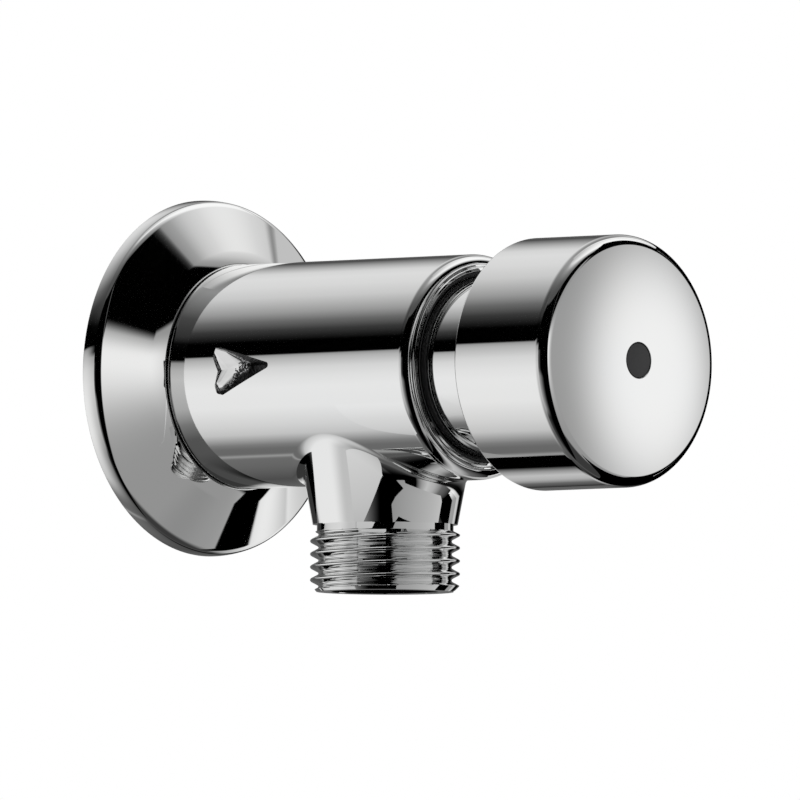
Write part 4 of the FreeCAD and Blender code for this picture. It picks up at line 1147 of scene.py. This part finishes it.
@dataclass
class WallFlange:
    """Pressed flange: a bowed rim, a rolled edge, a straight cone, and a crest in which the barrel nests.

    The rim is the out at which its side and the cone's line would meet. Bow and ease are the turns of the
    rim's arc and of the last arc before the cone, in degrees.
    """

    radius: float = 25.0
    rim: float = 2.2
    bow: float = 12.0
    edge_round: float = 0.9
    ease: float = 6.0
    ease_round: float = 5.0
    shoulder: tuple[float, float] = (17.8, 6.25)
    shoulder_round: float = 24.5
    crest: tuple[float, float] = (BARREL_RADIUS, 7.28)
    crest_round: float = 0.35
    nest: tuple[float, float] = (13.75, 8.3)
    nest_round: float = 2.15
    seat: float = BARREL_BACK
    sheet: float = 0.9
    hole: float = 10.778
    bevel: float = 0.15
    web: float = 14.765
    underside: tuple[tuple[float, float], ...] = (
        (15.975, 6.247), (17.359, 5.466), (24.1, 1.674), (24.1, 0.0))

    def edge(self, outline: Outline) -> None:
        """Draw the rim and its rolled edge: three arcs in a row that end square to the cone.

        The rim bows with the radius that brings the last arc onto the cone. Measured along the cone's normal,
        the drops of the three arcs add up to the height of the sharp corner over the rim's start.

        Args:
            outline: where it is drawn, with its pen on the bevel's end.
        """
        cone = math.atan2(self.radius - self.shoulder[0], self.shoulder[1] - self.rim)
        first, second = math.radians(self.bow), cone - math.radians(self.ease)
        drop = ((self.rim - self.bevel) * math.sin(cone)
                - self.edge_round * (math.cos(cone - second) - math.cos(cone - first))
                - self.ease_round * (1 - math.cos(cone - second)))
        radius = drop / (math.cos(cone - first) - math.cos(cone))
        low, arcs = 0.0, ((radius, first, 8), (self.edge_round, second, 18), (self.ease_round, cone, 8))
        for reach, high, rows in arcs:
            centre = outline.pen - reach * np.array([math.cos(low), math.sin(low)])
            outline.arc(tuple(centre), reach, math.degrees(low), math.degrees(high), rows)
            low = high

    def make(self, maker: Maker) -> None:
        """Build the flange from its section.

        The crest is a small arc that touches both the shoulder's arc and the nest's. Its centre is where a
        circle inside the one meets a circle outside the other.

        Args:
            maker: places the finished piece.
        """
        inside, bevel = self.seat - self.sheet, self.bevel
        centre = arc_centre(self.crest, self.shoulder, self.shoulder_round)
        start = math.degrees(math.atan2(self.shoulder[1] - centre[1], self.shoulder[0] - centre[0]))
        between = np.array(self.nest) - centre
        span = math.hypot(*between)
        far, close = self.shoulder_round - self.crest_round, self.nest_round + self.crest_round
        along = (far ** 2 - close ** 2 + span ** 2) / (2 * span)
        aside = math.sqrt(far ** 2 - along ** 2)
        brow = centre + (along * between + aside * np.array([between[1], -between[0]])) / span
        meets = math.degrees(math.atan2(brow[1] - centre[1], brow[0] - centre[0]))
        leaves = math.degrees(math.atan2(self.nest[1] - brow[1], self.nest[0] - brow[0]))
        floor = -math.degrees(math.asin((self.nest[1] - self.seat) / self.nest_round))
        outline = Outline(self.hole, inside).line(self.web, inside)
        for place in self.underside:
            outline.line(*place)
        outline.line(self.radius - bevel, 0.0).arc((self.radius - bevel, bevel), bevel, -90, 0, 5)
        self.edge(outline)
        outline.line(*self.shoulder).arc(tuple(centre), self.shoulder_round, start, meets, 16)
        outline.arc(tuple(brow), self.crest_round, meets, leaves, 14)
        outline.arc(self.nest, self.nest_round, leaves - 180, floor, 14)
        outline.line(self.hole, self.seat).line(self.hole, inside)
        maker.turned("wall_flange_plate", outline, Slot.CHROME, Body.VALVE, "wall_flange", segments=480)


@dataclass
class Gland:
    """Ring nut in the barrel's lip, and the wiper that rides on the neck.

    The bush is the nut's bore over the guide bush. The wiper sits in a wider bore from its floor to the nut's
    face, and its lip reaches in to the guide radius.
    """

    back: float = 43.3
    front: float = 53.9
    collar: float = 52.0
    outer: float = 14.03
    collar_outer: float = 14.47
    bush: float = 13.08
    wiper: float = 13.38
    wiper_floor: float = 52.15
    guide: float = NECK_RADIUS + 0.08
    face_groove: float = 0.14
    wiper_sunk: float = 0.25
    wiper_gap: float = 0.03
    lip_root: float = 0.27
    lip_top: float = 0.4
    lip_depth: tuple[float, float] = (0.375, 0.9)

    def make(self, maker: Maker) -> None:
        """Build the nut and the wiper.

        Args:
            maker: places the finished pieces.
        """
        middle, cut = (self.wiper + self.collar_outer) / 2, self.face_groove
        nut = Outline.through([
            (self.bush, self.back, 0.0), (self.outer, self.back, 0.1), (self.outer, self.collar, 0.0),
            (self.collar_outer, self.collar, 0.0), (self.collar_outer, self.front, 0.22),
            (middle + cut, self.front, 0.03), (middle, self.front - cut, 0.03),
            (middle - cut, self.front, 0.03), (self.wiper, self.front, 0.08),
            (self.wiper, self.wiper_floor, 0.0), (self.bush, self.wiper_floor, 0.0)])
        maker.turned("gland_ring_nut", nut, Slot.CHROME, Body.VALVE, "gland_nut")
        face, outside = self.front - self.wiper_sunk, self.wiper - self.wiper_gap
        root = self.guide + self.lip_root
        edge, back = (face - depth for depth in self.lip_depth)
        wiper = Outline.through([
            (root, self.wiper_floor, 0.0), (outside, self.wiper_floor, 0.05), (outside, face, 0.1),
            (self.guide + self.lip_top, face, 0.15), (self.guide, edge, 0.05), (root, back, 0.05)])
        maker.turned("wiper_ring", wiper, Slot.RUBBER, Body.VALVE, "wiper_seal", segments=240)


@dataclass
class PushButton:
    """Button cap with its domed face, the neck that slides in the barrel, and the centre plug.

    The dome is the face's own radius and the crown its highest out. The web closes the shell behind the face,
    and a boss on its back surrounds the way of the screw. The disc on the neck closes the cap's back.
    """

    cap_back: float = 64.35
    cap_radius: float = 17.6
    cap_bore: float = 16.25
    crown: float = 83.2
    dome: float = 85.0
    face_round: float = 1.9
    rim_round: float = 0.5
    web_back: float = 80.2
    boss: float = 4.2
    boss_back: float = 78.6
    screw_way: float = 1.6
    plug: float = 2.44
    plug_gap: float = 0.04
    plug_lip: float = 0.12
    plug_seat: float = 79.6
    plug_depth: float = 1.1
    plug_bevel: float = 0.1
    neck: float = NECK_RADIUS
    neck_back: float = 50.7
    neck_front: float = 75.5
    neck_wall: float = 1.2
    neck_step: float = 0.4
    disc: float = 16.2
    disc_ends: tuple[float, float] = (65.0, 66.8)

    def cap(self) -> Outline:
        """The cap's section: rear rim, side, rounded edge, dome, plug hole and the inside.

        Returns:
            The closed outline.
        """
        centre = (0.0, self.crown - self.dome)
        edge, meets = round_onto(self.cap_radius, centre, self.dome, self.face_round)
        hole, lip = self.plug + self.plug_gap, self.plug_lip
        brink = math.degrees(math.acos((hole + lip) / self.dome))
        top = centre[1] + math.sqrt(self.dome ** 2 - (hole + lip) ** 2)
        side, inner = self.cap_radius, self.cap_back + self.rim_round
        outline = Outline(self.cap_bore, self.cap_back).line(side - self.rim_round, self.cap_back)
        outline.arc((side - self.rim_round, inner), self.rim_round, -90, 0, 12).line(side, edge)
        outline.arc((side - self.face_round, edge), self.face_round, 0, meets, 18)
        outline.arc(centre, self.dome, meets, brink, 40).arc((hole + lip, top - lip), lip, brink, 180, 6)
        outline.line(hole, self.plug_seat).line(self.screw_way, self.plug_seat)
        outline.line(self.screw_way, self.boss_back).line(self.boss, self.boss_back)
        outline.line(self.boss, self.web_back).line(self.cap_bore, self.web_back)
        return outline.line(self.cap_bore, self.cap_back)

    def sleeve(self) -> Outline:
        """The neck's section, with the disc that closes the cap's back.

        Returns:
            The closed outline.
        """
        bore, wide = self.neck - self.neck_wall, self.neck + self.neck_step
        disc_back, disc_front = self.disc_ends
        return Outline.through([
            (bore, self.neck_back, 0.05), (self.neck - self.neck_step, self.neck_back, 0.0),
            (self.neck, self.neck_back + self.neck_step, 0.1), (self.neck, disc_back, 0.3),
            (self.disc, disc_back, 0.1), (self.disc, disc_front, 0.1), (wide, disc_front, 0.0),
            (wide, self.neck_front, 0.1), (bore, self.neck_front, 0.1)])

    def domed_plug(self) -> Outline:
        """The plug's section. The dome's radius follows from its rise: (radius^2 + rise^2) / (2 rise).

        Returns:
            The outline, from the axis to the axis.
        """
        rise, back = self.plug_lip, self.crown - self.plug_depth
        dome = (self.plug ** 2 + rise ** 2) / (2 * rise)
        centre = (0.0, self.crown - dome)
        edge, meets = round_onto(self.plug, centre, dome, rise)
        outline = Outline(0.0, back).line(self.plug - self.plug_bevel, back)
        outline.line(self.plug, back + self.plug_bevel).line(self.plug, edge)
        return outline.arc((self.plug - rise, edge), rise, 0, meets, 6).arc(centre, dome, meets, 90.0, 12)

    def make(self, maker: Maker) -> None:
        """Build the cap, the neck and the plug.

        Args:
            maker: places the finished pieces.
        """
        maker.turned("cap_shell", self.cap(), Slot.CHROME, Body.BUTTON, "button_cap", segments=480)
        maker.turned("sliding_neck", self.sleeve(), Slot.CHROME, Body.BUTTON, "push_sleeve", segments=480)
        maker.turned("face_plug", self.domed_plug(), Slot.BLACK_RESIN, Body.BUTTON, "centre_plug",
                     segments=96)


@dataclass
class ReturnSpring:
    """Compression spring of round wire with a closed, flat-ground turn at each end."""

    back: float = 45.1
    length: float = 14.7
    mean: float = 6.95
    wire: float = 1.0
    turns: float = 6.0
    closed_pitch: float = 1.45
    travel: float = 7.0
    steps: int = 432
    sides: int = 18

    def make(self, maker: Maker) -> None:
        """Carry the wire's circle along the helix, then grind both ends flat.

        The height rises by the closed pitch over the first and last turns and evenly between. Each ring lies
        in the plane of the spoke from the axis and of its cross product with the helix's tangent.

        Args:
            maker: places the finished piece.
        """
        turn = np.linspace(0, self.turns, self.steps + 1)
        knots = [0, 1, self.turns - 1, self.turns]
        height = np.interp(turn, knots, [0, self.closed_pitch, self.length - self.closed_pitch, self.length])
        angle = 2 * math.pi * turn
        spoke = np.stack([np.cos(angle), 0 * angle, np.sin(angle)], -1)
        middle = spoke * self.mean - (self.back + height)[:, None] * np.array([0.0, 1.0, 0.0])
        tangent = np.gradient(middle, axis=0)
        tangent /= np.linalg.norm(tangent, axis=1, keepdims=True)
        upright = np.cross(tangent, spoke)
        around = np.linspace(0, 2 * math.pi, self.sides + 1)[None, :, None]
        normals = np.cos(around) * spoke[:, None] + np.sin(around) * upright[:, None]
        points = middle[:, None] + normals * self.wire / 2
        points[..., 1] = np.clip(points[..., 1], -self.back - self.length, -self.back)
        points[:, -1] = points[:, 0]
        skin = Skin("coil_spring")
        skin.add(points, normals)
        for end, way in ((0, -1.0), (-1, 1.0)):
            hub = np.broadcast_to(points[end].mean(axis=0), points[end].shape)
            skin.add(np.stack([hub, points[end]]), tangent[end] * way)
        made = maker.place(skin, Slot.STAINLESS, Body.VALVE, "return_spring")
        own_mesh(made)


@dataclass
class HiddenWorks:
    """The pieces that keep the frame's own shape: cartridge, spindle, seals and the parts behind the wall."""

    slots: dict[str, Slot] = field(default_factory=lambda: {
        "wall_seal_ring": Slot.RUBBER, "inlet_strainer": Slot.STAINLESS, "cartridge_body": Slot.BRASS,
        "seat_ring": Slot.STAINLESS, "cartridge_o_ring": Slot.RUBBER, "cartridge_gasket": Slot.FIBRE,
        "timing_cylinder": Slot.BRASS, "cylinder_head": Slot.BRASS, "head_o_ring": Slot.RUBBER,
        "guide_bush": Slot.WHITE_RESIN, "spindle": Slot.STAINLESS, "washer_holder": Slot.BRASS,
        "seat_washer": Slot.RUBBER, "washer_nut": Slot.BRASS, "piston": Slot.WHITE_RESIN,
        "piston_lip_seal": Slot.RUBBER, "piston_clip": Slot.STAINLESS, "metering_pin": Slot.STAINLESS,
        "button_hub": Slot.GREY_RESIN, "button_screw": Slot.STAINLESS})

    def make(self, maker: Maker) -> None:
        """Dress each node with the finish of its slot.

        Args:
            maker: holds the finishes.
        """
        for name, slot in self.slots.items():
            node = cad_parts[name]
            node.data.materials.clear()
            node.data.materials.append(maker.finishes[slot])
            log.info("%s: %s", name, slot.value)


# Studio


def level(tone: float) -> float:
    """Linear level at which a card, seen in the plate, shows with a display tone from 0 to 255.

    Args:
        tone: the display tone.
    Returns:
        The level, from the usual curve of displays, over the plate's own tone.
    """
    share = tone / 255
    return (((share + 0.055) / 1.055) ** 2.4 if share > 0.04045 else share / 12.92) / PLATE_TONE


@dataclass(frozen=True)
class Pool:
    """A soft oval pool of light, placed and sized in degrees of azimuth and height."""

    centre: tuple[float, float]
    size: tuple[float, float]
    tone: float
    edge: float = 1.0

    def over(self, graph: Graph, azimuth: Value, height: Value, base: float) -> Value:
        """What the pool adds to a base level: its own less the base, times exp(-(distance / size)^(2 edge)).

        Args:
            graph: the world's graph.
            azimuth: degrees from straight ahead, positive to the right.
            height: degrees above the horizon.
            base: the level round the pool.
        Returns:
            The level to add.
        """
        aside = (azimuth - self.centre[0]) / self.size[0]
        above = (height - self.centre[1]) / self.size[1]
        fall = graph.maths("POWER", aside * aside + above * above, self.edge) * -1.0
        return graph.maths("EXPONENT", fall) * (level(self.tone) - base)


@dataclass
class Studio:
    """A pale floor, a white surround, one soft lamp, and the soft boxes and black flags that chrome shows.

    The light is the level that reaches matt surfaces. Tones are those of a display, from 0 to 255, as the
    polished plate shows them: grey all over the front, a paler strip at its right, a box at its left and the
    zenith. The side and flank tones go with the angle about the valve's axis, and the dome's with azimuth +
    2.3 height, all in degrees.
    """

    floor_height: float = -550.0
    floor_half: float = 9000.0
    light: float = 0.85
    grey: float = 146
    strip: float = 190
    box: float = 200
    zenith: float = 165
    near_pool: Pool = Pool((-16.0, 7.0), (24.0, 17.0), 236)
    face_pool: Pool = Pool((51.0, 1.5), (18.0, 15.5), 240, 2.0)
    low_pool: Pool = Pool((79.0, -25.0), (16.0, 11.0), 232)
    side_tones: tuple[tuple[float, float], ...] = (
        (0, 100), (26, 70), (36, 128), (46, 175), (56, 210), (66, 218), (80, 214), (96, 200), (116, 152),
        (126, 104), (136, 56), (143, 30), (148, 0), (162.2, 0), (163.0, 150), (166, 176), (176, 212),
        (186, 224), (196, 230), (216, 228), (236, 208), (246, 193), (253, 157), (258.5, 123), (263.7, 104),
        (271, 102), (274.3, 150), (277.5, 106), (290, 100), (317, 75), (360, 100))
    flank_tones: tuple[tuple[float, float], ...] = (
        (0, 0), (17, 0), (24, 160), (36, 190), (48, 140), (57, 125), (94, 150), (125, 74), (133, 64),
        (143, 52), (150, 8), (156, 0), (166.5, 0), (168.5, 150), (175, 184), (184, 198), (198, 188),
        (212, 176), (227, 124), (242, 88), (259, 86), (279, 61), (299, 10), (325, 14), (345, 0), (360, 0))
    dome_tones: tuple[tuple[float, float], ...] = (
        (-110, 90), (-70, 78), (-26, 76), (-6, 79), (14, 88), (34, 115), (44, 130), (54, 158), (62, 195),
        (68, 212), (74, 240), (82, 248), (100, 248))

    @staticmethod
    def ramp(graph: Graph, place: Value, tones: Sequence[tuple[float, float]]) -> Value:
        """A ramp of display tones over the range of their places.

        Args:
            graph: the graph to add it to.
            place: where on the ramp.
            tones: (place, tone) pairs in rising order.
        Returns:
            The level.
        """
        first, last = tones[0][0], tones[-1][0]
        stops = [((at - first) / (last - first), level(tone)) for at, tone in tones]
        return graph.value("ShaderNodeValToRGB", 0, {"stops": stops}, {0: (place - first) / (last - first)})

    def beside(self, graph: Graph, towards: tuple[Value, Value, Value]) -> Value:
        """What lies to the sides and towards the wall: soft box tones by the angle about the valve's axis.

        One ramp holds for the directions that the barrel's side mirrors, and another, darker one for those
        nearer to the plane of the wall.

        Args:
            graph: the world's graph.
            towards: the direction's X, Y and Z.
        Returns:
            The level.
        """
        across, deep, up = towards
        turn = graph.maths("FRACT", graph.maths("ARCTAN2", up, across) / (2 * math.pi) + 1.0) * 360.0
        share = graph.step(deep, 0.30, 0.66)
        return (self.ramp(graph, turn, self.side_tones) * share
                + self.ramp(graph, turn, self.flank_tones) * (1.0 - share))

    def glow(self, graph: Graph, azimuth: Value, height: Value) -> Value:
        """The light in front: an even grey, three pools over it and a paler strip at the far right.

        Args:
            graph: the world's graph.
            azimuth: degrees from straight ahead, positive to the right.
            height: degrees above the horizon.
        Returns:
            The level.
        """
        base = level(self.grey)
        near, face, low = (pool.over(graph, azimuth, height, base)
                           for pool in (self.near_pool, self.face_pool, self.low_pool))
        near = near * (1.0 - graph.step(height, 9.0, 20.0))
        strip = graph.step(azimuth, 86.8, 88.2) * (level(self.strip) - base)
        return near + face + low + strip + base

    def flags(self, graph: Graph, azimuth: Value, height: Value) -> Value:
        """Where the front is black: two flags, the room round the camera, and a frame round the face's pool.

        The upper flag's foot slants, and rises faster left of -7.8 degrees. The lower flag's left edge slants
        too. The frame is what lies outside an oval and inside a window of azimuth.

        Args:
            graph: the world's graph.
            azimuth: degrees from straight ahead, positive to the right.
            height: degrees above the horizon.
        Returns:
            1 where it is black, 0 elsewhere.
        """
        foot = height - azimuth * 0.216 + graph.maths("MAXIMUM", azimuth * -1.0 - 7.8, 0.0) * 0.9
        upper = graph.window(azimuth, -14.0, 60.0, 1.0) * graph.step(foot, 20.2, 22.7)
        lower = (graph.window(azimuth, 58.8, 74.0, 0.5) * graph.window(height, -60.0, -15.0, 1.0)
                 * graph.step(height * 0.8 - azimuth, -98.5, -96.0))
        room = 1.0 - graph.step(azimuth, -15.5, -12.5)
        wide, tall = (azimuth - 46.5) / 25.0, (height - 2.5) / 17.0
        frame_round = (graph.step(wide * wide + tall * tall, 1.0, 1.14) * graph.step(height, -31.0, -29.0)
                       * graph.window(azimuth + graph.step(height, -1.0, 1.0) * 16.0, 49.0, 90.0, 1.5)
                       * graph.window(azimuth, 32.0, 74.0, 1.0))
        return graph.maths("MAXIMUM", graph.maths("MAXIMUM", upper, lower),
                           graph.maths("MAXIMUM", room, frame_round))

    def side_box(self, graph: Graph, azimuth: Value, height: Value) -> Value:
        """The soft box at the far left, which reaches further round below the horizon.

        Args:
            graph: the world's graph.
            azimuth: degrees from straight ahead, positive to the right.
            height: degrees above the horizon.
        Returns:
            The level.
        """
        reach = azimuth - graph.step(height * -1.0, 6.0, 14.0) * 18.0
        box = (1.0 - graph.step(reach, -128.0, -72.0)) * (1.0 - graph.step(height, 6.5, 9.0))
        return box * (1.0 - graph.step(azimuth, -112.0, -88.0) * 0.35) * level(self.box)

    def dome(self, graph: Graph, azimuth: Value, height: Value) -> tuple[Value, Value]:
        """The grey dome overhead, with a seam at its right, and where it covers what lies in front.

        Its edge is the lower of a level line and a slanted one, with a rounded corner between them. It also
        reaches down at the far left, and stays off the strip at the far right.

        Args:
            graph: the world's graph.
            azimuth: degrees from straight ahead, positive to the right.
            height: degrees above the horizon.
        Returns:
            The level, and the share of it that covers.
        """
        rise = azimuth + height * 2.3
        top = graph.step(height, 50.0, 100.0)
        dome = self.ramp(graph, rise - 82.8, self.dome_tones) * (1.0 - top) + top * level(self.zenith)
        dome = dome * (1.0 - graph.window(azimuth, 85.2, 87.4, 1.6) * 0.62)
        under = graph.maths("SMOOTH_MIN", 44.4 - height, 128.8 - rise, 4.0)
        far_left = graph.step(height - azimuth * 0.42, 76.0, 84.0)
        far_left = far_left * (1.0 - graph.step(azimuth, -92.0, -78.0))
        above = graph.maths("MAXIMUM", 1.0 - graph.step(under, -1.6, 1.6), far_left)
        strip = graph.step(azimuth, 87.0, 88.0) * (1.0 - graph.step(height, 24.0, 32.0))
        return dome, above * (1.0 - strip)

    def before(self, graph: Graph, azimuth: Value, height: Value) -> Value:
        """What lies in front: the light between its flags, a soft box, dark ground and the dome over all.

        Args:
            graph: the world's graph.
            azimuth: degrees from straight ahead, positive to the right.
            height: degrees above the horizon.
        Returns:
            The level.
        """
        lit = self.glow(graph, azimuth, height) * (1.0 - self.flags(graph, azimuth, height))
        ground = graph.step(height * -1.0, 38.0, 47.0)
        lit = (lit + self.side_box(graph, azimuth, height)) * (1.0 - ground * 0.86)
        dome, above = self.dome(graph, azimuth, height)
        return lit * (1.0 - above) + dome * above

    def world(self) -> None:
        """Fill the world: white to the camera, an even level to matt surfaces, the studio to chrome."""
        world = bpy.data.worlds.new("studio")
        bpy.context.scene.world = world
        world.use_nodes = True
        graph = Graph(world.node_tree)
        direction = graph.value("ShaderNodeTexCoord", "Generated")
        towards = graph.node("ShaderNodeSeparateXYZ", None, {0: direction})
        across, deep, up = (Value(graph, towards.outputs[i]) for i in range(3))
        azimuth = graph.maths("ARCTAN2", across, deep * -1.0) * (180 / math.pi)
        height = graph.maths("ARCSINE", up) * (180 / math.pi)
        side = graph.step(deep, 0.09, 0.15)
        studio = (self.beside(graph, (across, deep, up)) * side
                  + self.before(graph, azimuth, height) * (1.0 - side))
        path = graph.node("ShaderNodeLightPath")
        camera, glossy = (Value(graph, path.outputs[name]) for name in ("Is Camera Ray", "Is Glossy Ray"))
        seen = studio * glossy + self.light * (1.0 - glossy)
        shown = seen * (1.0 - camera) + camera
        background = graph.node("ShaderNodeBackground", None, {"Color": shown, "Strength": 1.0})
        graph.node("ShaderNodeOutputWorld", None, {"Surface": background.outputs[0]})

    @staticmethod
    def sheet(name: str, surface: bpy.types.Material, places: Grid) -> bpy.types.Object:
        """A flat sheet of the studio, which is no part of the valve.

        Args:
            name: the sheet's name.
            surface: its material.
            places: its corners in order, in millimetres.
        Returns:
            The sheet.
        """
        mesh = bpy.data.meshes.new(name)
        mesh.from_pydata((places * MM).tolist(), [], [tuple(range(len(places)))])
        mesh.materials.append(surface)
        made = bpy.data.objects.new(name, mesh)
        bpy.context.scene.collection.objects.link(made)
        made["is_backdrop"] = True
        return made

    def floor(self) -> None:
        """A pale floor below the camera's height, which keeps the valve's soft shadow."""
        made, graph = new_surface("pale floor")
        cloud = graph.noise(graph.object_place(), 3.0, 2.0)
        pale, paler = colour(0.86, 0.86, 0.86), colour(0.88, 0.88, 0.88)
        close_surface(graph, {"Base Color": graph.blend(cloud, pale, paler), "Roughness": 0.9}, None, 0.0)
        square = np.array([(-1, -1), (1, -1), (1, 1), (-1, 1)]) * self.floor_half
        floor = self.sheet("floor", made, np.column_stack([square, np.full(4, self.floor_height)]))
        floor.visible_glossy = False

    def card(self, name: str, corners: Sequence[tuple[float, float, float]], axis: int,
             tones: Sequence[tuple[float, float]]) -> None:
        """A small flat card close to the valve that only the chrome sees.

        Args:
            name: the card's name.
            corners: the outline in order.
            axis: the axis along which the tone changes, 0 to 2.
            tones: display tones by the place on that axis.
        """
        made, graph = new_surface(name)
        place = graph.value("ShaderNodeAttribute", "Fac", {"attribute_name": "along"})
        close_surface(graph, {
            "Base Color": colour(0.0, 0.0, 0.0), "Roughness": 1.0, "Specular IOR Level": 0.0,
            "Emission Color": self.ramp(graph, place, tones), "Emission Strength": 1.0}, None, 0.0)
        places = np.array(corners, float)
        card = self.sheet(name, made, places)
        card.data.attributes.new("along", "FLOAT", "POINT").data.foreach_set("value", places[:, axis].copy())
        card.visible_camera = card.visible_diffuse = card.visible_shadow = card.visible_transmission = False

    def cards(self) -> None:
        """Place the cards: one below the button, two by the outlet and three black ones round the face."""
        self.card("card_below_button",
                  ((-10.2, -46, -24), (-10.2, -76, -24), (12.8, -76, -24), (12.8, -46, -24)), 0,
                  ((-10.2, 0), (-5.6, 0), (-3.6, 150), (-1.5, 188), (1.2, 172), (4.9, 100), (12.8, 20)))
        self.card("pale_card_beside_outlet",
                  ((-16.4, -50.5, -6.5), (-16.4, -37, -6.5), (-16.4, -37, -26), (-16.4, -47.8, -18.9),
                   (-16.4, -50.5, -18)), 2,
                  ((-27, 176), (-24.4, 182), (-21, 192), (-16, 203), (-10.8, 214), (-7, 229)))
        self.card("grey_card_before_outlet",
                  ((-14, -52, -23), (-12.1, -52, -21.5), (-6.8, -52, -18.5), (8, -52, -14), (8, -52, -40),
                   (-8, -52, -40), (-11, -52, -30)), 0, ((-14, 140), (-5, 160), (8, 190)))
        black = ((-135.0, 0), (-1.0, 0))
        self.card("black_card_beside", ((40, -90.5, -35), (40, -90.5, 35), (40, -55, 35), (40, -55, -35)), 1,
                  black)
        self.card("black_card_above", ((15, -96, 50), (75, -96, 50), (75, -135, 50), (15, -135, 50)), 1,
                  black)
        self.card("black_card_under", ((10, -60, -50), (75, -60, -50), (75, -135, -50), (10, -135, -50)), 1,
                  black)

    def lamp(self) -> None:
        """One large soft lamp overhead, unseen in the chrome, that gives matt pieces their form."""
        data = bpy.data.lights.new("soft_lamp", "AREA")
        data.shape, data.size, data.energy = "DISK", 1.6, 12.0
        made = bpy.data.objects.new("soft_lamp", data)
        made.location = Vector((-0.6, -1.1, 1.9))
        made.rotation_euler = (Vector((0, -0.03, 0)) - made.location).to_track_quat("-Z", "Y").to_euler()
        made.visible_glossy = False
        bpy.context.scene.collection.objects.link(made)

    def make(self) -> None:
        """Set the studio up."""
        self.world()
        self.floor()
        self.cards()
        self.lamp()
        bpy.context.scene.view_settings.view_transform = "Standard"


@dataclass
class Viewpoint:
    """The photograph's camera: a long lens from the left front, a little below the valve."""

    turn: float = -46.55
    tilt: float = -2.72
    roll: float = 0.2
    focal: float = 34317.0
    distance: float = 4799.0
    aside: float = -5.46
    above: float = 3.91
    aim: tuple[float, float, float] = (0.0, -30.0, 0.0)
    frame_width: float = 800.0

    def make(self) -> None:
        """Create the camera and make it the scene's own."""
        turn, tilt, roll = (math.radians(angle) for angle in (self.turn, self.tilt, self.roll))
        back = Vector((math.sin(turn) * math.cos(tilt), -math.cos(turn) * math.cos(tilt), math.sin(tilt)))
        level_right = Vector((math.cos(turn), math.sin(turn), 0.0))
        level_up = back.cross(level_right)
        right = level_right * math.cos(roll) + level_up * math.sin(roll)
        up = level_up * math.cos(roll) - level_right * math.sin(roll)
        place = Vector(self.aim) + back * self.distance - right * self.aside - up * self.above
        data = bpy.data.cameras.new("viewpoint")
        data.sensor_width = 36.0
        data.lens = self.focal * data.sensor_width / self.frame_width
        data.clip_start, data.clip_end = 0.1, 50.0
        made = bpy.data.objects.new("viewpoint", data)
        made.matrix_world = Matrix.Translation(place * MM) @ Matrix((right, up, back)).transposed().to_4x4()
        bpy.context.scene.collection.objects.link(made)
        bpy.context.scene.camera = made


def corners() -> list[list[float]]:
    """The shown object's box as two plain corners."""
    return [[float(x) for x in corner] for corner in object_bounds()]


def main() -> None:
    """Build the valve, the studio and the camera, in order."""
    logging.basicConfig(level=logging.INFO, format="%(name)s: %(message)s")
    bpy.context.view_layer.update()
    maker = Maker(Finishes())
    for assembly in (BarrelCasting(), FlowArrow(), WallFlange(), Gland(), PushButton(), ReturnSpring(),
                     HiddenWorks()):
        log.info("building %s", type(assembly).__name__)
        assembly.make(maker)
    Studio().make()
    Viewpoint().make()


if __name__ == "__main__":
    main()
